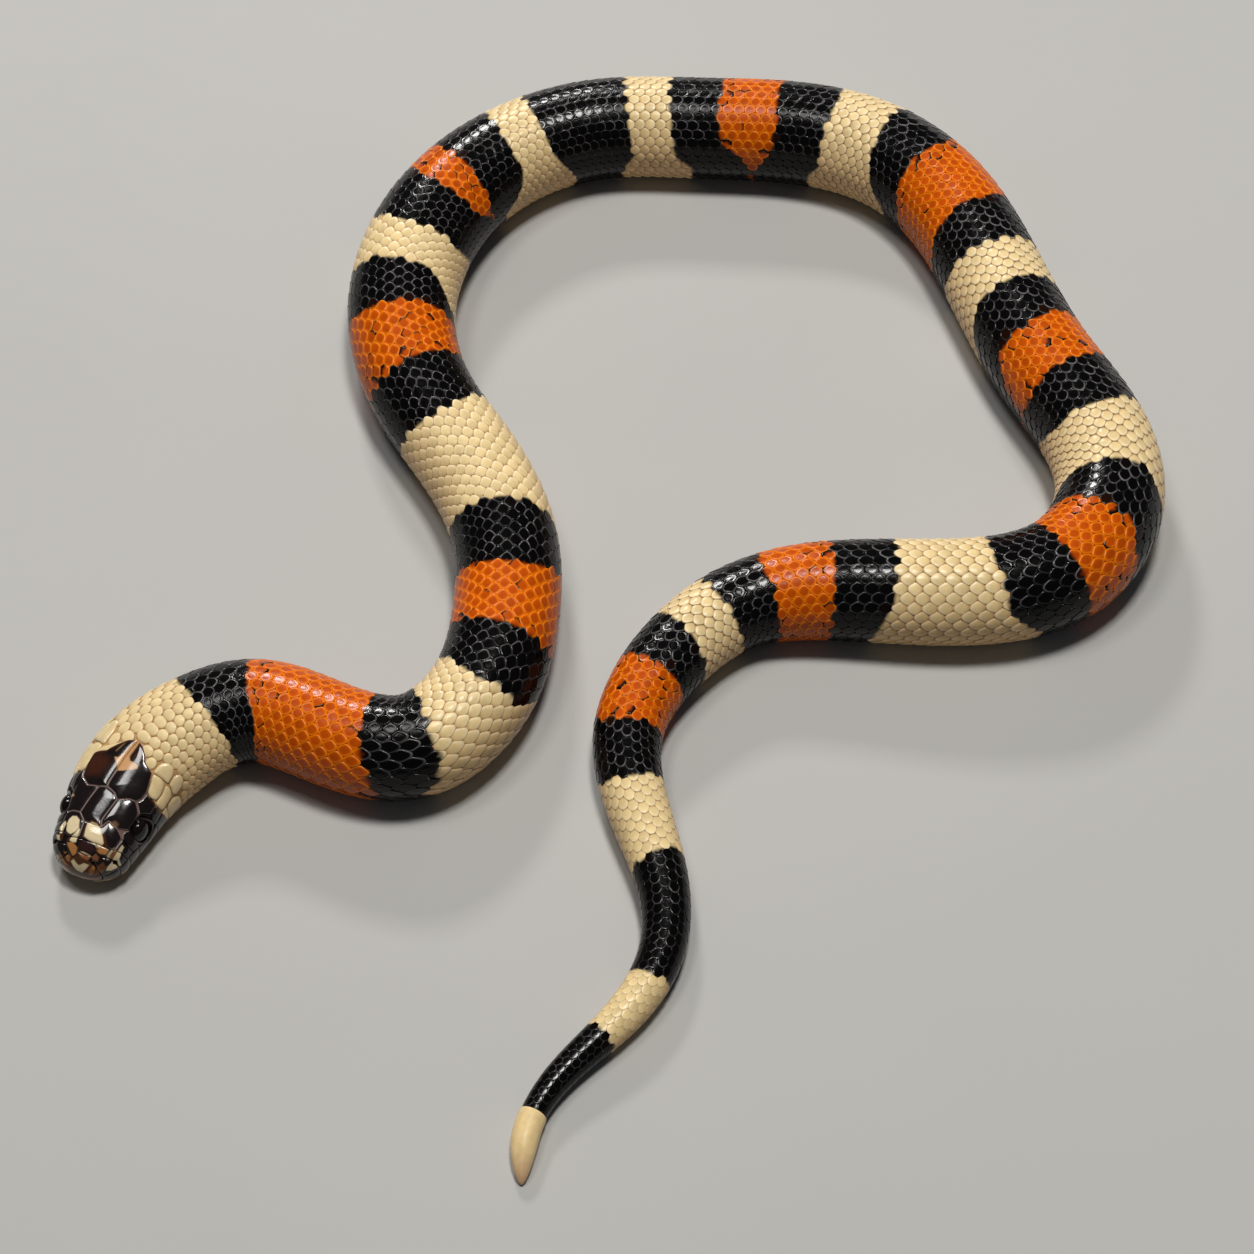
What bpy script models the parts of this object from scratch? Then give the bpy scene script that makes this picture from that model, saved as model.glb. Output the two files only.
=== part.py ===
"""Milk snake at life size, lying in its loose bends, as a still museum model.

The whole animal is one loft along a route on the floor, from the snout to the tail tip.
It is parted into a head, a lower jaw, a neck, twelve lengths of torso and three of tail.
The head shields, the lip plates and the broad belly scutes are plates raised on the length they
grow from. Lengths are in millimetres here and are turned into metres when the meshes are made.
"""

import math
import random

import bpy
import numpy as np

MM = 0.001
GAP = 0.3
BOX_MIDDLE = np.array([-0.06, 0.28])

# The route of the spine over the floor, from the snout back to the tip of the tail
ROUTE = [
    (-93.1, -61.2), (-88.6, -50.0), (-85.5, -43.3), (-78.0, -35.5), (-66.0, -30.4), (-50.5, -35.6),
    (-37.5, -38.0), (-26.5, -28.5), (-21.5, -10.5), (-22.2, 7.0), (-29.3, 24.6), (-37.8, 39.2),
    (-42.5, 56.0), (-41.5, 70.5), (-35.0, 86.6), (-23.3, 99.5), (-7.0, 107.0), (14.0, 107.5),
    (34.0, 106.0), (49.5, 100.5), (61.2, 88.8), (69.3, 70.8), (78.5, 46.0), (86.8, 28.0),
    (87.0, 12.0), (78.0, -0.5), (60.0, -5.3), (37.0, -4.6), (20.8, -7.1), (8.3, -17.3),
    (0.3, -33.0), (1.5, -47.0), (6.0, -63.0), (6.0, -75.0), (-0.5, -87.5), (-10.5, -98.0),
    (-16.0, -107.5), (-17.0, -117.0),
]

# Distance from the snout, then the width of the body and the heights of its back and its widest level
GIRTH = [
    (0, 12.0, 7.4, 4.4), (5, 13.8, 9.2, 4.6), (12, 16.4, 11.0, 5.1), (20, 18.7, 12.9, 5.8),
    (28, 19.5, 14.6, 6.8), (36, 18.6, 15.9, 7.7), (45, 17.9, 16.6, 8.2), (62, 17.9, 16.9, 8.3),
    (110, 18.8, 17.7, 8.7), (150, 18.6, 17.6, 8.6), (195, 20.5, 19.2, 9.4), (245, 19.1, 18.2, 8.9),
    (300, 19.6, 18.6, 9.1), (345, 19.2, 18.2, 8.9), (385, 19.6, 18.6, 9.1), (445, 18.6, 17.7, 8.6),
    (462, 17.4, 16.6, 8.1), (478, 15.2, 14.5, 7.1), (494, 14.0, 13.3, 6.5), (508, 12.3, 11.8, 5.8),
    (530, 10.3, 9.9, 4.9), (548, 8.3, 8.1, 4.0), (566, 6.8, 6.7, 3.4), (582, 5.2, 5.2, 2.7),
    (594, 4.3, 4.4, 2.3),
]
# How far the chin lifts off the floor ahead of the throat
CHIN = [(0, 1.05), (5, 0.35), (12, 0.0)]
BELLY = 0.35
SNOUT_ROUND = 5.0
TIP_ROUND = 8.0
BELLY_DEPTH_SHARE = 1.17

# Where the animal is parted, measured from the snout
HEAD_END = 28.0
NECK_END = 52.0
TORSO_CUTS = [52.0, 78.0, 104.0, 150.0, 194.0, 232.0, 276.0, 318.0, 362.0, 394.0, 424.0, 466.0, 508.0]
TAIL_CUTS = [508.0, 544.0, 575.0]

BODY_SIDES = 16
HEAD_SIDES = 24
RING_STEP = 5.0
HEAD_RING_STEP = 1.6

# Belly scutes: how far apart they come, and how far each rises and is rooted
SCUTE_PITCH = 5.0
TAIL_SCUTE_PITCH = 3.6
SCUTE_RISE = 0.35
SCUTE_ROOT = 1.4
SCUTE_LAP = 0.9
SCUTE_ANGLES = [135.0, 157.5, 202.5, 225.0]

# Mouth line: distance from the snout and height above the floor
MOUTH = [(-3.0, 3.3), (2.0, 3.1), (8.0, 2.7), (14.0, 2.9), (19.0, 3.7), (23.5, 3.9)]
JAW_HINGE = (25.0, -3.0)

# Where an eye stands: distance from the snout, out to the side and up, then its radius and depth
EYE_AT = (10.3, 6.7, 7.0)
EYE_RADIUS = 2.1
EYE_DEPTH = 1.4
NOSTRIL_AT = (3.3, 62.0)
NOSTRIL_RADIUS = 0.45

SHIELD_RISE = 0.16
SHIELD_ROOT = 0.7
LABIAL_ENDS = [1.3, 3.4, 5.6, 7.9, 10.3, 13.0, 16.6, 21.0]
LABIAL_TOPS = [84.0, 80.0, 78.0, 84.0, 92.0, 85.0, 83.0, 84.0]
LABIAL_HEM = 3.0
LOWER_LABIAL_DEPTH = 20.0

# Outlines of the shields on the midline, as distance from the snout and angle from the back
MIDDLE_SHIELDS = {
    "rostral": [(1.0, -33), (1.15, 0), (1.0, 33), (0.92, 72), (0.62, 98), (0.62, -98), (0.92, -72)],
    "frontal": [(7.2, 0), (7.5, 9), (9.8, 11.5), (12.8, 9), (14.0, 0), (12.8, -9), (9.8, -11.5), (7.5, -9)],
}
# Outlines of the shields that come in pairs, given for one side
PAIRED_SHIELDS = {
    "internasal": [(1.6, 2), (3.9, 2), (4.0, 14), (3.9, 32), (2.4, 42), (1.6, 26)],
    "prefrontal": [(4.2, 2), (6.9, 2), (7.0, 10), (6.9, 30), (6.1, 45), (4.4, 38), (4.3, 14)],
    "supraocular": [(7.3, 13), (9.2, 15), (12.4, 13), (13.9, 20), (13.8, 36), (11.7, 46), (8.7, 46), (7.3, 34)],
    "parietal": [(14.5, 2), (13.3, 10), (14.4, 19), (14.4, 39), (18.0, 46), (21.4, 30), (22.8, 12), (22.8, 2)],
    "nasal": [(2.1, 46), (4.5, 43), (4.8, 58), (4.7, 76), (1.7, 80), (1.7, 60)],
    "loreal": [(5.1, 50), (6.2, 50), (6.5, 60), (6.4, 75), (5.2, 75)],
    "preocular": [(6.6, 49), (7.9, 46), (8.1, 58), (8.0, 78), (6.8, 78), (6.9, 60)],
    "upper_postocular": [(13.1, 45), (14.1, 43), (14.6, 60), (13.3, 62)],
    "lower_postocular": [(13.3, 65), (14.7, 63), (14.9, 80), (13.0, 82)],
    "front_temporal": [(14.8, 45), (18.4, 50), (18.9, 62), (15.1, 62)],
    "low_temporal": [(15.2, 65), (18.9, 65), (19.4, 79), (15.3, 79)],
    "rear_temporal": [(19.0, 47), (21.4, 36), (22.4, 48), (21.8, 66), (19.3, 64)],
}
# Plates under the jaw, given for one side
CHIN_PLATES = {
    "front_chin": [(4.2, 163), (4.2, 177.5), (9.6, 177.5), (9.6, 158)],
    "rear_chin": [(10.2, 177.5), (10.2, 158), (15.4, 158), (16.0, 172), (14.8, 177.5)],
}
MENTAL = [(1.0, 122), (2.6, 168), (2.6, 192), (1.0, 238)]


def clear_scene():
    for old in list(bpy.data.objects):
        bpy.data.objects.remove(old, do_unlink=True)


def spline_bends(knots, values):
    """Second derivatives of the natural cubic spline through the values."""
    count = len(knots)
    gaps = np.diff(knots)
    slopes = np.diff(values) / gaps
    system = np.eye(count)
    right = np.zeros(count)
    for i in range(1, count - 1):
        system[i, i - 1:i + 2] = gaps[i - 1], 2 * (gaps[i - 1] + gaps[i]), gaps[i]
        right[i] = 6 * (slopes[i] - slopes[i - 1])
    return np.linalg.solve(system, right)


def spline_through(knots, values, where):
    bends = spline_bends(knots, values)
    i = np.clip(np.searchsorted(knots, where) - 1, 0, len(knots) - 2)
    gap = knots[i + 1] - knots[i]
    left = (knots[i + 1] - where) / gap
    right = 1 - left
    straight = left * values[i] + right * values[i + 1]
    return straight + ((left**3 - left) * bends[i] + (right**3 - right) * bends[i + 1]) * gap**2 / 6


class Spine:
    """The route as a smooth curve, read by distance from the snout."""

    def __init__(self, route):
        points = np.array(route) - BOX_MIDDLE
        knots = np.concatenate([[0], np.cumsum(np.hypot(*np.diff(points, axis=0).T))])
        fine = np.linspace(0, knots[-1], 6000)
        self.x, self.y = (spline_through(knots, line, fine) for line in points.T)
        self.run = np.concatenate([[0], np.cumsum(np.hypot(np.diff(self.x), np.diff(self.y)))])
        self.length = self.run[-1]
        self.along_x = np.gradient(self.x, self.run)
        self.along_y = np.gradient(self.y, self.run)

    def place(self, s):
        return np.array([np.interp(s, self.run, self.x), np.interp(s, self.run, self.y)])

    def heading(self, s):
        along = np.array([np.interp(s, self.run, self.along_x), np.interp(s, self.run, self.along_y)])
        return along / np.hypot(*along)


SPINE = Spine(ROUTE)


def eased(stations, column, s):
    """A smooth line through one column of the stations that never overshoots them."""
    at = [row[0] for row in stations]
    values = [row[column] for row in stations]
    if s <= at[0]:
        return values[0]
    if s >= at[-1]:
        return values[-1]
    i = int(np.searchsorted(at, s)) - 1
    slopes = [(values[k + 1] - values[k]) / (at[k + 1] - at[k]) for k in range(len(at) - 1)]

    def tangent(k):
        if k == 0 or k == len(at) - 1 or slopes[k - 1] * slopes[k] <= 0:
            return 0.0
        return 2 * slopes[k - 1] * slopes[k] / (slopes[k - 1] + slopes[k])

    gap = at[i + 1] - at[i]
    t = (s - at[i]) / gap
    rise = values[i] * (2 * t**3 - 3 * t**2 + 1) + values[i + 1] * (3 * t**2 - 2 * t**3)
    return rise + gap * (tangent(i) * (t**3 - 2 * t**2 + t) + tangent(i + 1) * (t**3 - t**2))


def girth(s):
    """Half width, back, widest level, belly and squareness of the section at s."""
    half = eased(GIRTH, 1, s) / 2
    back, level = (eased(GIRTH, column, s) for column in (2, 3))
    belly = BELLY + eased(CHIN, 1, s)
    square = 2.0 + 0.35 * min(1.0, max(0.0, (34 - s) / 10))
    if s < SNOUT_ROUND:
        nose = (1 - (1 - s / SNOUT_ROUND) ** 2.2) ** (1 / 2.2)
        return half * nose, level + (back - level) * nose, level, level - (level - belly) * nose, square
    left = SPINE.length - s
    if left < TIP_ROUND:
        tip = (1 - (1 - left / TIP_ROUND) ** 1.7) ** (1 / 1.6)
        half *= tip
        back = belly + (back - belly) * tip
        level = belly + (level - belly) * tip
    return half, back, level, belly, square


def section_point(s, angle):
    """A point of the skin at s, with the angle measured from the middle of the back."""
    half, back, level, belly, square = girth(s)
    side = math.copysign(abs(math.sin(angle)) ** (2 / square), math.sin(angle)) * half
    up = math.copysign(abs(math.cos(angle)) ** (2 / square), math.cos(angle))
    deep = (level - belly) * BELLY_DEPTH_SHARE
    height = level + up * (back - level) if up > 0 else max(belly, level + up * deep)
    x, y = SPINE.place(s)
    ahead = SPINE.heading(s)
    return np.array([x - ahead[1] * side, y + ahead[0] * side, height])


def skin_normal(s, angle):
    """The outward direction of the skin, from small steps along and round it."""
    step = 0.05
    turn = 0.01
    along = section_point(s + step, angle) - section_point(max(s - step, 0.0), angle)
    across = section_point(s, angle + turn) - section_point(s, angle - turn)
    normal = np.cross(across, along)
    normal /= np.linalg.norm(normal)
    middle = np.append(SPINE.place(s + 1.0), girth(s)[2])
    return normal if normal @ (section_point(s, angle) - middle) > 0 else -normal


def mouth_angle(s):
    """The angle from the back at which the mouth line crosses the skin."""
    _, _, level, belly, square = girth(s)
    height = np.interp(s, [t for t, _ in MOUTH], [z for _, z in MOUTH])
    drop = min(0.98, max(0.0, (level - height) / ((level - belly) * BELLY_DEPTH_SHARE)))
    return 180 - math.degrees(math.acos(drop ** (square / 2)))


def principled(name, colour, roughness):
    material = bpy.data.materials.new(name)
    material.use_nodes = True
    shader = material.node_tree.nodes["Principled BSDF"]
    shader.inputs["Base Color"].default_value = (*colour, 1)
    shader.inputs["Roughness"].default_value = roughness
    shader.inputs["Metallic"].default_value = 0.0
    return material


def add_mesh(name, points, faces, collection, material=None):
    mesh = bpy.data.meshes.new(name)
    mesh.from_pydata([tuple(float(c) * MM for c in p) for p in points], [], faces)
    mesh.update()
    obj = bpy.data.objects.new(name, mesh)
    collection.objects.link(obj)
    if material is not None:
        mesh.materials.append(material)
    return obj


def loft(name, start, end, sides, step, collection, material):
    """A closed length of the body between two places on the spine."""
    count = max(3, round((end - start) / step))
    places = [start + (end - start) * i / count for i in range(count + 1)]
    if start == 0.0:
        places = [0.12, 0.5, 1.1] + [p for p in places if p > 1.5]
    if SPINE.length - end < 1.0:
        places = [p for p in places if SPINE.length - p > 6.0]
        places += [SPINE.length - left for left in (5.0, 2.6, 1.2, 0.4, 0.08)]
    points = []
    for s in places:
        points += [section_point(s, 2 * math.pi * k / sides) for k in range(sides)]
    faces = []
    for ring in range(len(places) - 1):
        for k in range(sides):
            following = (k + 1) % sides
            a = ring * sides
            faces.append((a + k, a + sides + k, a + sides + following, a + following))
    faces.append(tuple(range(sides)))
    last = (len(places) - 1) * sides
    faces.append(tuple(last + k for k in reversed(range(sides))))
    return add_mesh(name, points, faces, collection, material)


def apply_modifiers(obj):
    depsgraph = bpy.context.evaluated_depsgraph_get()
    mesh = bpy.data.meshes.new_from_object(obj.evaluated_get(depsgraph))
    obj.modifiers.clear()
    old = obj.data
    name = old.name
    obj.data = mesh
    bpy.data.meshes.remove(old)
    mesh.name = name


def keep_largest_surface(obj):
    """Drops whatever a union leaves sealed inside or loose outside."""
    mesh = obj.data
    owner = list(range(len(mesh.vertices)))

    def root(v):
        while owner[v] != v:
            owner[v] = owner[owner[v]]
            v = owner[v]
        return v

    for edge in mesh.edges:
        a, b = (root(v) for v in edge.vertices)
        owner[a] = b
    groups = {}
    for v in range(len(mesh.vertices)):
        groups.setdefault(root(v), []).append(v)
    if len(groups) == 1:
        return
    largest = set(max(groups.values(), key=len))
    points = [v.co.copy() for v in mesh.vertices]
    order = {v: i for i, v in enumerate(sorted(largest))}
    faces = [[order[v] for v in face.vertices] for face in mesh.polygons if face.vertices[0] in largest]
    kept = bpy.data.meshes.new(mesh.name)
    kept.from_pydata([points[v] for v in sorted(largest)], [], faces)
    kept.update()
    for material in mesh.materials:
        kept.materials.append(material)
    obj.data = kept
    bpy.data.meshes.remove(mesh)


def boolean(obj, other, operation):
    modifier = obj.modifiers.new(operation.lower(), "BOOLEAN")
    modifier.operation = operation
    modifier.solver = "EXACT"
    modifier.object = other


def join_plates(obj, plates):
    """Fuses a collection of closed plates with the length they grow from, and removes them."""
    modifier = obj.modifiers.new("plates", "BOOLEAN")
    modifier.operation = "UNION"
    modifier.solver = "EXACT"
    modifier.operand_type = "COLLECTION"
    modifier.collection = plates
    apply_modifiers(obj)
    keep_largest_surface(obj)
    shade_round(obj)
    for plate in list(plates.objects):
        bpy.data.objects.remove(plate, do_unlink=True)


def shade_round(obj):
    obj.data.shade_smooth()
    obj.data.set_sharp_from_angle(angle=math.radians(35))


def as_cutter(obj):
    obj.hide_render = True
    obj.display_type = "WIRE"
    return obj


def belly_scute(name, front, rear, collection):
    """One broad plate across the belly, sunk at its front edge and free at its rear edge."""
    flat = front + (rear - front) * 0.55
    lines = [(front, -SCUTE_ROOT), (front, -0.3), (flat, SCUTE_RISE), (rear, SCUTE_RISE), (rear, -SCUTE_ROOT)]
    points = []
    for s, rise in lines:
        centre = np.append(SPINE.place(s), girth(s)[2])
        for angle in SCUTE_ANGLES:
            point = section_point(s, math.radians(angle))
            outward = point - centre
            outward /= np.linalg.norm(outward)
            if 150 < angle < 210:
                outward = np.array([0.0, 0.0, -1.0])
            points.append(point + outward * rise)
    across = len(SCUTE_ANGLES)
    rows = len(lines)
    faces = []
    for row in range(rows):
        a = row * across
        b = (row + 1) % rows * across
        for k in range(across - 1):
            faces.append((a + k, b + k, b + k + 1, a + k + 1))
    faces.append(tuple(row * across for row in reversed(range(rows))))
    faces.append(tuple(row * across + across - 1 for row in range(rows)))
    return add_mesh(name, points, faces, collection)


def belly_scutes(obj, start, end, pitch, plates, draws):
    """The row of scutes under one length, clear of both its ends."""
    inset = 0.25
    count = round((end - start - 2 * inset) / pitch)
    ends = [start + inset + (end - start - 2 * inset) * k / count for k in range(count + 1)]
    for k in range(1, count):
        ends[k] += draws.uniform(-0.06, 0.06) * pitch
    for k in range(count):
        rear = min(ends[k + 1] + SCUTE_LAP * (k < count - 1), end - inset)
        belly_scute(f"scute_{k}", ends[k], rear, plates)
    join_plates(obj, plates)


def shield(name, outline, collection, rise=SHIELD_RISE):
    """A domed plate over an outline given as distance from the snout and angle from the back."""
    rim = []
    root = []
    for t, angle in outline:
        turn = math.radians(angle)
        normal = skin_normal(t, turn)
        rim.append(section_point(t, turn) + normal * rise)
        root.append(section_point(t, turn) - normal * SHIELD_ROOT)
    count = len(outline)
    middle_t = sum(t for t, _ in outline) / count
    middle_turn = math.radians(sum(angle for _, angle in outline) / count)
    top = section_point(middle_t, middle_turn) + skin_normal(middle_t, middle_turn) * rise * 1.5
    if name == "rostral":
        top = np.append(SPINE.place(0) - SPINE.heading(0) * rise * 1.5, girth(0)[2] + 0.4)
    points = rim + root + [top, sum(root) / count]
    faces = []
    for k in range(count):
        following = (k + 1) % count
        faces.append((k, following, 2 * count))
        faces.append((following, k, count + k, count + following))
        faces.append((count + following, count + k, 2 * count + 1))
    turned = np.cross(rim[1] - rim[0], rim[2] - rim[0]) @ (top - sum(root) / count) < 0
    if turned:
        faces = [tuple(reversed(face)) for face in faces]
    return add_mesh(name, points, faces, collection)


def mirrored(outline):
    return [(t, -angle) for t, angle in outline]


def head_plates(plates):
    for name, outline in MIDDLE_SHIELDS.items():
        shield(name, outline, plates)
    for name, outline in PAIRED_SHIELDS.items():
        shield(name + "_right", outline, plates)
        shield(name + "_left", mirrored(outline), plates)
    between = 0.12
    for k in range(len(LABIAL_ENDS) - 1):
        front = LABIAL_ENDS[k] + between
        rear = LABIAL_ENDS[k + 1] - between
        low = [(t, mouth_angle(t) - LABIAL_HEM) for t in (rear, front)]
        outline = [(front, LABIAL_TOPS[k] + 2), (rear, LABIAL_TOPS[k + 1] + 2)] + low
        shield(f"upper_lip_right_{k}", outline, plates)
        shield(f"upper_lip_left_{k}", mirrored(outline), plates)


def jaw_plates(plates):
    shield("mental", MENTAL, plates)
    between = 0.12
    for k in range(len(LABIAL_ENDS) - 1):
        front = LABIAL_ENDS[k] + between
        rear = LABIAL_ENDS[k + 1] - between
        top = [(t, mouth_angle(t) + LABIAL_HEM) for t in (front, rear)]
        low = [(t, mouth_angle(t) + LOWER_LABIAL_DEPTH) for t in (rear, front)]
        shield(f"lower_lip_right_{k}", top + low, plates)
        shield(f"lower_lip_left_{k}", mirrored(top + low), plates)
    for name, outline in CHIN_PLATES.items():
        shield(name + "_right", outline, plates)
        shield(name + "_left", mirrored(outline), plates)


def mouth_cutter(name, grown, collection):
    """The space of the lower jaw: below the mouth line and ahead of the hinge."""
    reach = 14.0
    deep = -4.0
    profile = [(t, z + grown) for t, z in MOUTH]
    profile += [(JAW_HINGE[0] + grown, JAW_HINGE[1]), (JAW_HINGE[0] + grown, deep), (MOUTH[0][0], deep)]
    snout = SPINE.place(0)
    ahead = SPINE.heading(6)
    points = []
    for side in (-reach, reach):
        for t, z in profile:
            x, y = snout + ahead * t + np.array([-ahead[1], ahead[0]]) * side
            points.append((x, y, z))
    count = len(profile)
    faces = [tuple(reversed(range(count))), tuple(range(count, 2 * count))]
    for k in range(count):
        following = (k + 1) % count
        faces.append((k, following, count + following, count + k))
    return as_cutter(add_mesh(name, points, faces, collection))


def ball(name, where, radii, collection, material=None):
    """A flattened ball turned with the head, of radii along it, out to the side and up."""
    bpy.ops.mesh.primitive_uv_sphere_add(segments=16, ring_count=10, radius=1.0)
    obj = bpy.context.object
    obj.name = name
    obj.data.name = name
    for owner in list(obj.users_collection):
        owner.objects.unlink(obj)
    collection.objects.link(obj)
    ahead = SPINE.heading(6)
    obj.location = [float(c) * MM for c in where]
    obj.rotation_euler = (0, 0, math.atan2(ahead[1], ahead[0]))
    obj.scale = [radius * MM for radius in radii]
    obj.data.shade_smooth()
    if material is not None:
        obj.data.materials.append(material)
    return obj


def eye_ball(name, side, grown, collection, material=None):
    t, lateral, height = EYE_AT
    ahead = SPINE.heading(6)
    x, y = SPINE.place(0) + ahead * t + np.array([-ahead[1], ahead[0]]) * lateral * side
    radii = (EYE_RADIUS + grown, EYE_DEPTH + grown, EYE_RADIUS + grown)
    return ball(name, (x, y, height), radii, collection, material)


def make_head(snake, cutters, plates, cap, pale, glass):
    head = loft("head", 0.0, HEAD_END, HEAD_SIDES, HEAD_RING_STEP, snake, cap)
    jaw = loft("jaw", 0.0, HEAD_END, HEAD_SIDES, HEAD_RING_STEP, snake, pale)
    boolean(head, mouth_cutter("mouth_gap", GAP, cutters), "DIFFERENCE")
    boolean(jaw, mouth_cutter("jaw_space", 0.0, cutters), "INTERSECT")
    apply_modifiers(head)
    apply_modifiers(jaw)
    head_plates(plates)
    join_plates(head, plates)
    jaw_plates(plates)
    join_plates(jaw, plates)
    for name, side in (("left", -1), ("right", 1)):
        eye_ball("eye_" + name, side, 0.0, snake, glass)
        boolean(head, as_cutter(eye_ball("socket_" + name, side, GAP, cutters)), "DIFFERENCE")
        t, angle = NOSTRIL_AT
        where = section_point(t, math.radians(angle * side))
        pit = ball("nostril_" + name, where, [NOSTRIL_RADIUS] * 3, cutters)
        boolean(head, as_cutter(pit), "DIFFERENCE")
    apply_modifiers(head)
    keep_largest_surface(head)
    shade_round(head)


def make_lengths(snake, plates, colours):
    """The neck, the torso and the tail, each with its row of belly scutes."""
    draws = random.Random(7)
    lengths = [("neck", HEAD_END, NECK_END, SCUTE_PITCH)]
    for k, (start, end) in enumerate(zip(TORSO_CUTS, TORSO_CUTS[1:])):
        lengths.append((f"torso_{k + 1}", start, end, SCUTE_PITCH))
    ends = TAIL_CUTS[1:] + [SPINE.length]
    for name, start, end in zip(("tail_base", "tail_middle", "tail_tip"), TAIL_CUTS, ends):
        lengths.append((name, start, end, TAIL_SCUTE_PITCH))
    for k, (name, start, end, pitch) in enumerate(lengths):
        length = loft(name, start + GAP, end, BODY_SIDES, RING_STEP, snake, colours[k % len(colours)])
        plated_end = end - TIP_ROUND if name == "tail_tip" else end
        belly_scutes(length, start + GAP, plated_end, pitch, plates, draws)


def main():
    clear_scene()
    snake = bpy.data.collections.new("milk_snake")
    cutters = bpy.data.collections.new("cutters")
    plates = bpy.data.collections.new("plates")
    for collection in (snake, cutters, plates):
        bpy.context.scene.collection.children.link(collection)
    cream = principled("cream_skin", (0.74, 0.60, 0.30), 0.4)
    black = principled("black_skin", (0.012, 0.008, 0.009), 0.25)
    orange = principled("orange_skin", (0.75, 0.17, 0.012), 0.35)
    cap = principled("head_skin", (0.035, 0.014, 0.012), 0.25)
    glass = principled("eye_gloss", (0.006, 0.005, 0.005), 0.05)
    make_head(snake, cutters, plates, cap, cream, glass)
    make_lengths(snake, plates, [cream, orange, black])


main()
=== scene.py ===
import math

import bpy
import numpy as np
from mathutils.geometry import delaunay_2d_cdt
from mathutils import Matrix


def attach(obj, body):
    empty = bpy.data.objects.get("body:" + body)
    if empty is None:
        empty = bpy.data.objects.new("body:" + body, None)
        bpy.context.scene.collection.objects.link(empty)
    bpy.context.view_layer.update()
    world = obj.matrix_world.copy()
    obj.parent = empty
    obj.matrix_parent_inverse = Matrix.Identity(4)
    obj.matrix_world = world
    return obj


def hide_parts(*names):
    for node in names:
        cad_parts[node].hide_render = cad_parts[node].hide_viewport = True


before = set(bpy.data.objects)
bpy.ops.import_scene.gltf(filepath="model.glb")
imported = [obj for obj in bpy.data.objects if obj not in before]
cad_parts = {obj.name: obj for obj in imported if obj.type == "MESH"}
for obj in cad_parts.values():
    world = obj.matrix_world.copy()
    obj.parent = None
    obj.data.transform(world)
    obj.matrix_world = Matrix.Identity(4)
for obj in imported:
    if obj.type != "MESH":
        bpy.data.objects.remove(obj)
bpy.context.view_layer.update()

# Lengths are in millimetres until a mesh is made
MM = 0.001
BOX_MIDDLE = np.array([-0.06, 0.28])

# The route of the spine over the floor, from the snout back to the tip of the tail
ROUTE = [
    (-93.1, -61.2), (-88.6, -50.0), (-85.5, -43.3), (-78.0, -35.5), (-66.0, -30.4), (-50.5, -35.6),
    (-37.5, -38.0), (-26.5, -28.5), (-21.5, -10.5), (-22.2, 7.0), (-29.3, 24.6), (-37.8, 39.2),
    (-42.5, 56.0), (-41.5, 70.5), (-35.0, 86.6), (-23.3, 99.5), (-7.0, 107.0), (14.0, 107.5),
    (34.0, 106.0), (49.5, 100.5), (61.2, 88.8), (69.3, 70.8), (78.5, 46.0), (86.8, 28.0),
    (87.0, 12.0), (78.0, -0.5), (60.0, -5.3), (37.0, -4.6), (20.8, -7.1), (8.3, -17.3),
    (0.3, -33.0), (1.5, -47.0), (6.0, -63.0), (6.0, -75.0), (-0.5, -87.5), (-10.5, -98.0),
    (-16.0, -107.5), (-17.0, -117.0),
]
# Distance from the snout, then the width of the body and the heights of its back and its widest level
GIRTH = [
    (0, 12.0, 7.4, 4.4), (5, 13.8, 9.2, 4.6), (12, 16.4, 11.0, 5.1), (20, 18.7, 12.9, 5.8),
    (28, 19.5, 14.6, 6.8), (36, 18.6, 15.9, 7.7), (45, 17.9, 16.6, 8.2), (62, 17.9, 16.9, 8.3),
    (110, 18.8, 17.7, 8.7), (150, 18.6, 17.6, 8.6), (195, 20.5, 19.2, 9.4), (245, 19.1, 18.2, 8.9),
    (300, 19.6, 18.6, 9.1), (345, 19.2, 18.2, 8.9), (385, 19.6, 18.6, 9.1), (445, 18.6, 17.7, 8.6),
    (462, 17.4, 16.6, 8.1), (478, 15.2, 14.5, 7.1), (494, 14.0, 13.3, 6.5), (508, 12.3, 11.8, 5.8),
    (530, 10.3, 9.9, 4.9), (548, 8.3, 8.1, 4.0), (566, 6.8, 6.7, 3.4), (582, 5.2, 5.2, 2.7),
    (594, 4.3, 4.4, 2.3),
]
CHIN = [(0, 1.05), (5, 0.35), (12, 0.0)]
BELLY = 0.35
SNOUT_ROUND = 5.0
TIP_ROUND = 8.0
BELLY_DEPTH_SHARE = 1.17
MOUTH = [(-3.0, 3.3), (2.0, 3.1), (8.0, 2.7), (14.0, 2.9), (19.0, 3.7), (23.5, 3.9)]
EYE_AT = (10.3, 6.7, 7.0)
EYE_RADIUS = 2.1
EYE_DEPTH = 1.4
SOCKET_MARGIN = 0.25
SOCKET_CLEARANCE = 0.35
NOSTRIL_AT = (3.3, 62.0)

FLESH = ["head", "jaw", "neck", "tail_base", "tail_middle", "tail_tip"]
FLESH += [f"torso_{k}" for k in range(1, 13)]


# The shape of the body

def spline_bends(knots, values):
    count = len(knots)
    gaps = np.diff(knots)
    slopes = np.diff(values) / gaps
    system = np.eye(count)
    right = np.zeros(count)
    for i in range(1, count - 1):
        system[i, i - 1:i + 2] = gaps[i - 1], 2 * (gaps[i - 1] + gaps[i]), gaps[i]
        right[i] = 6 * (slopes[i] - slopes[i - 1])
    return np.linalg.solve(system, right)


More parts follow.
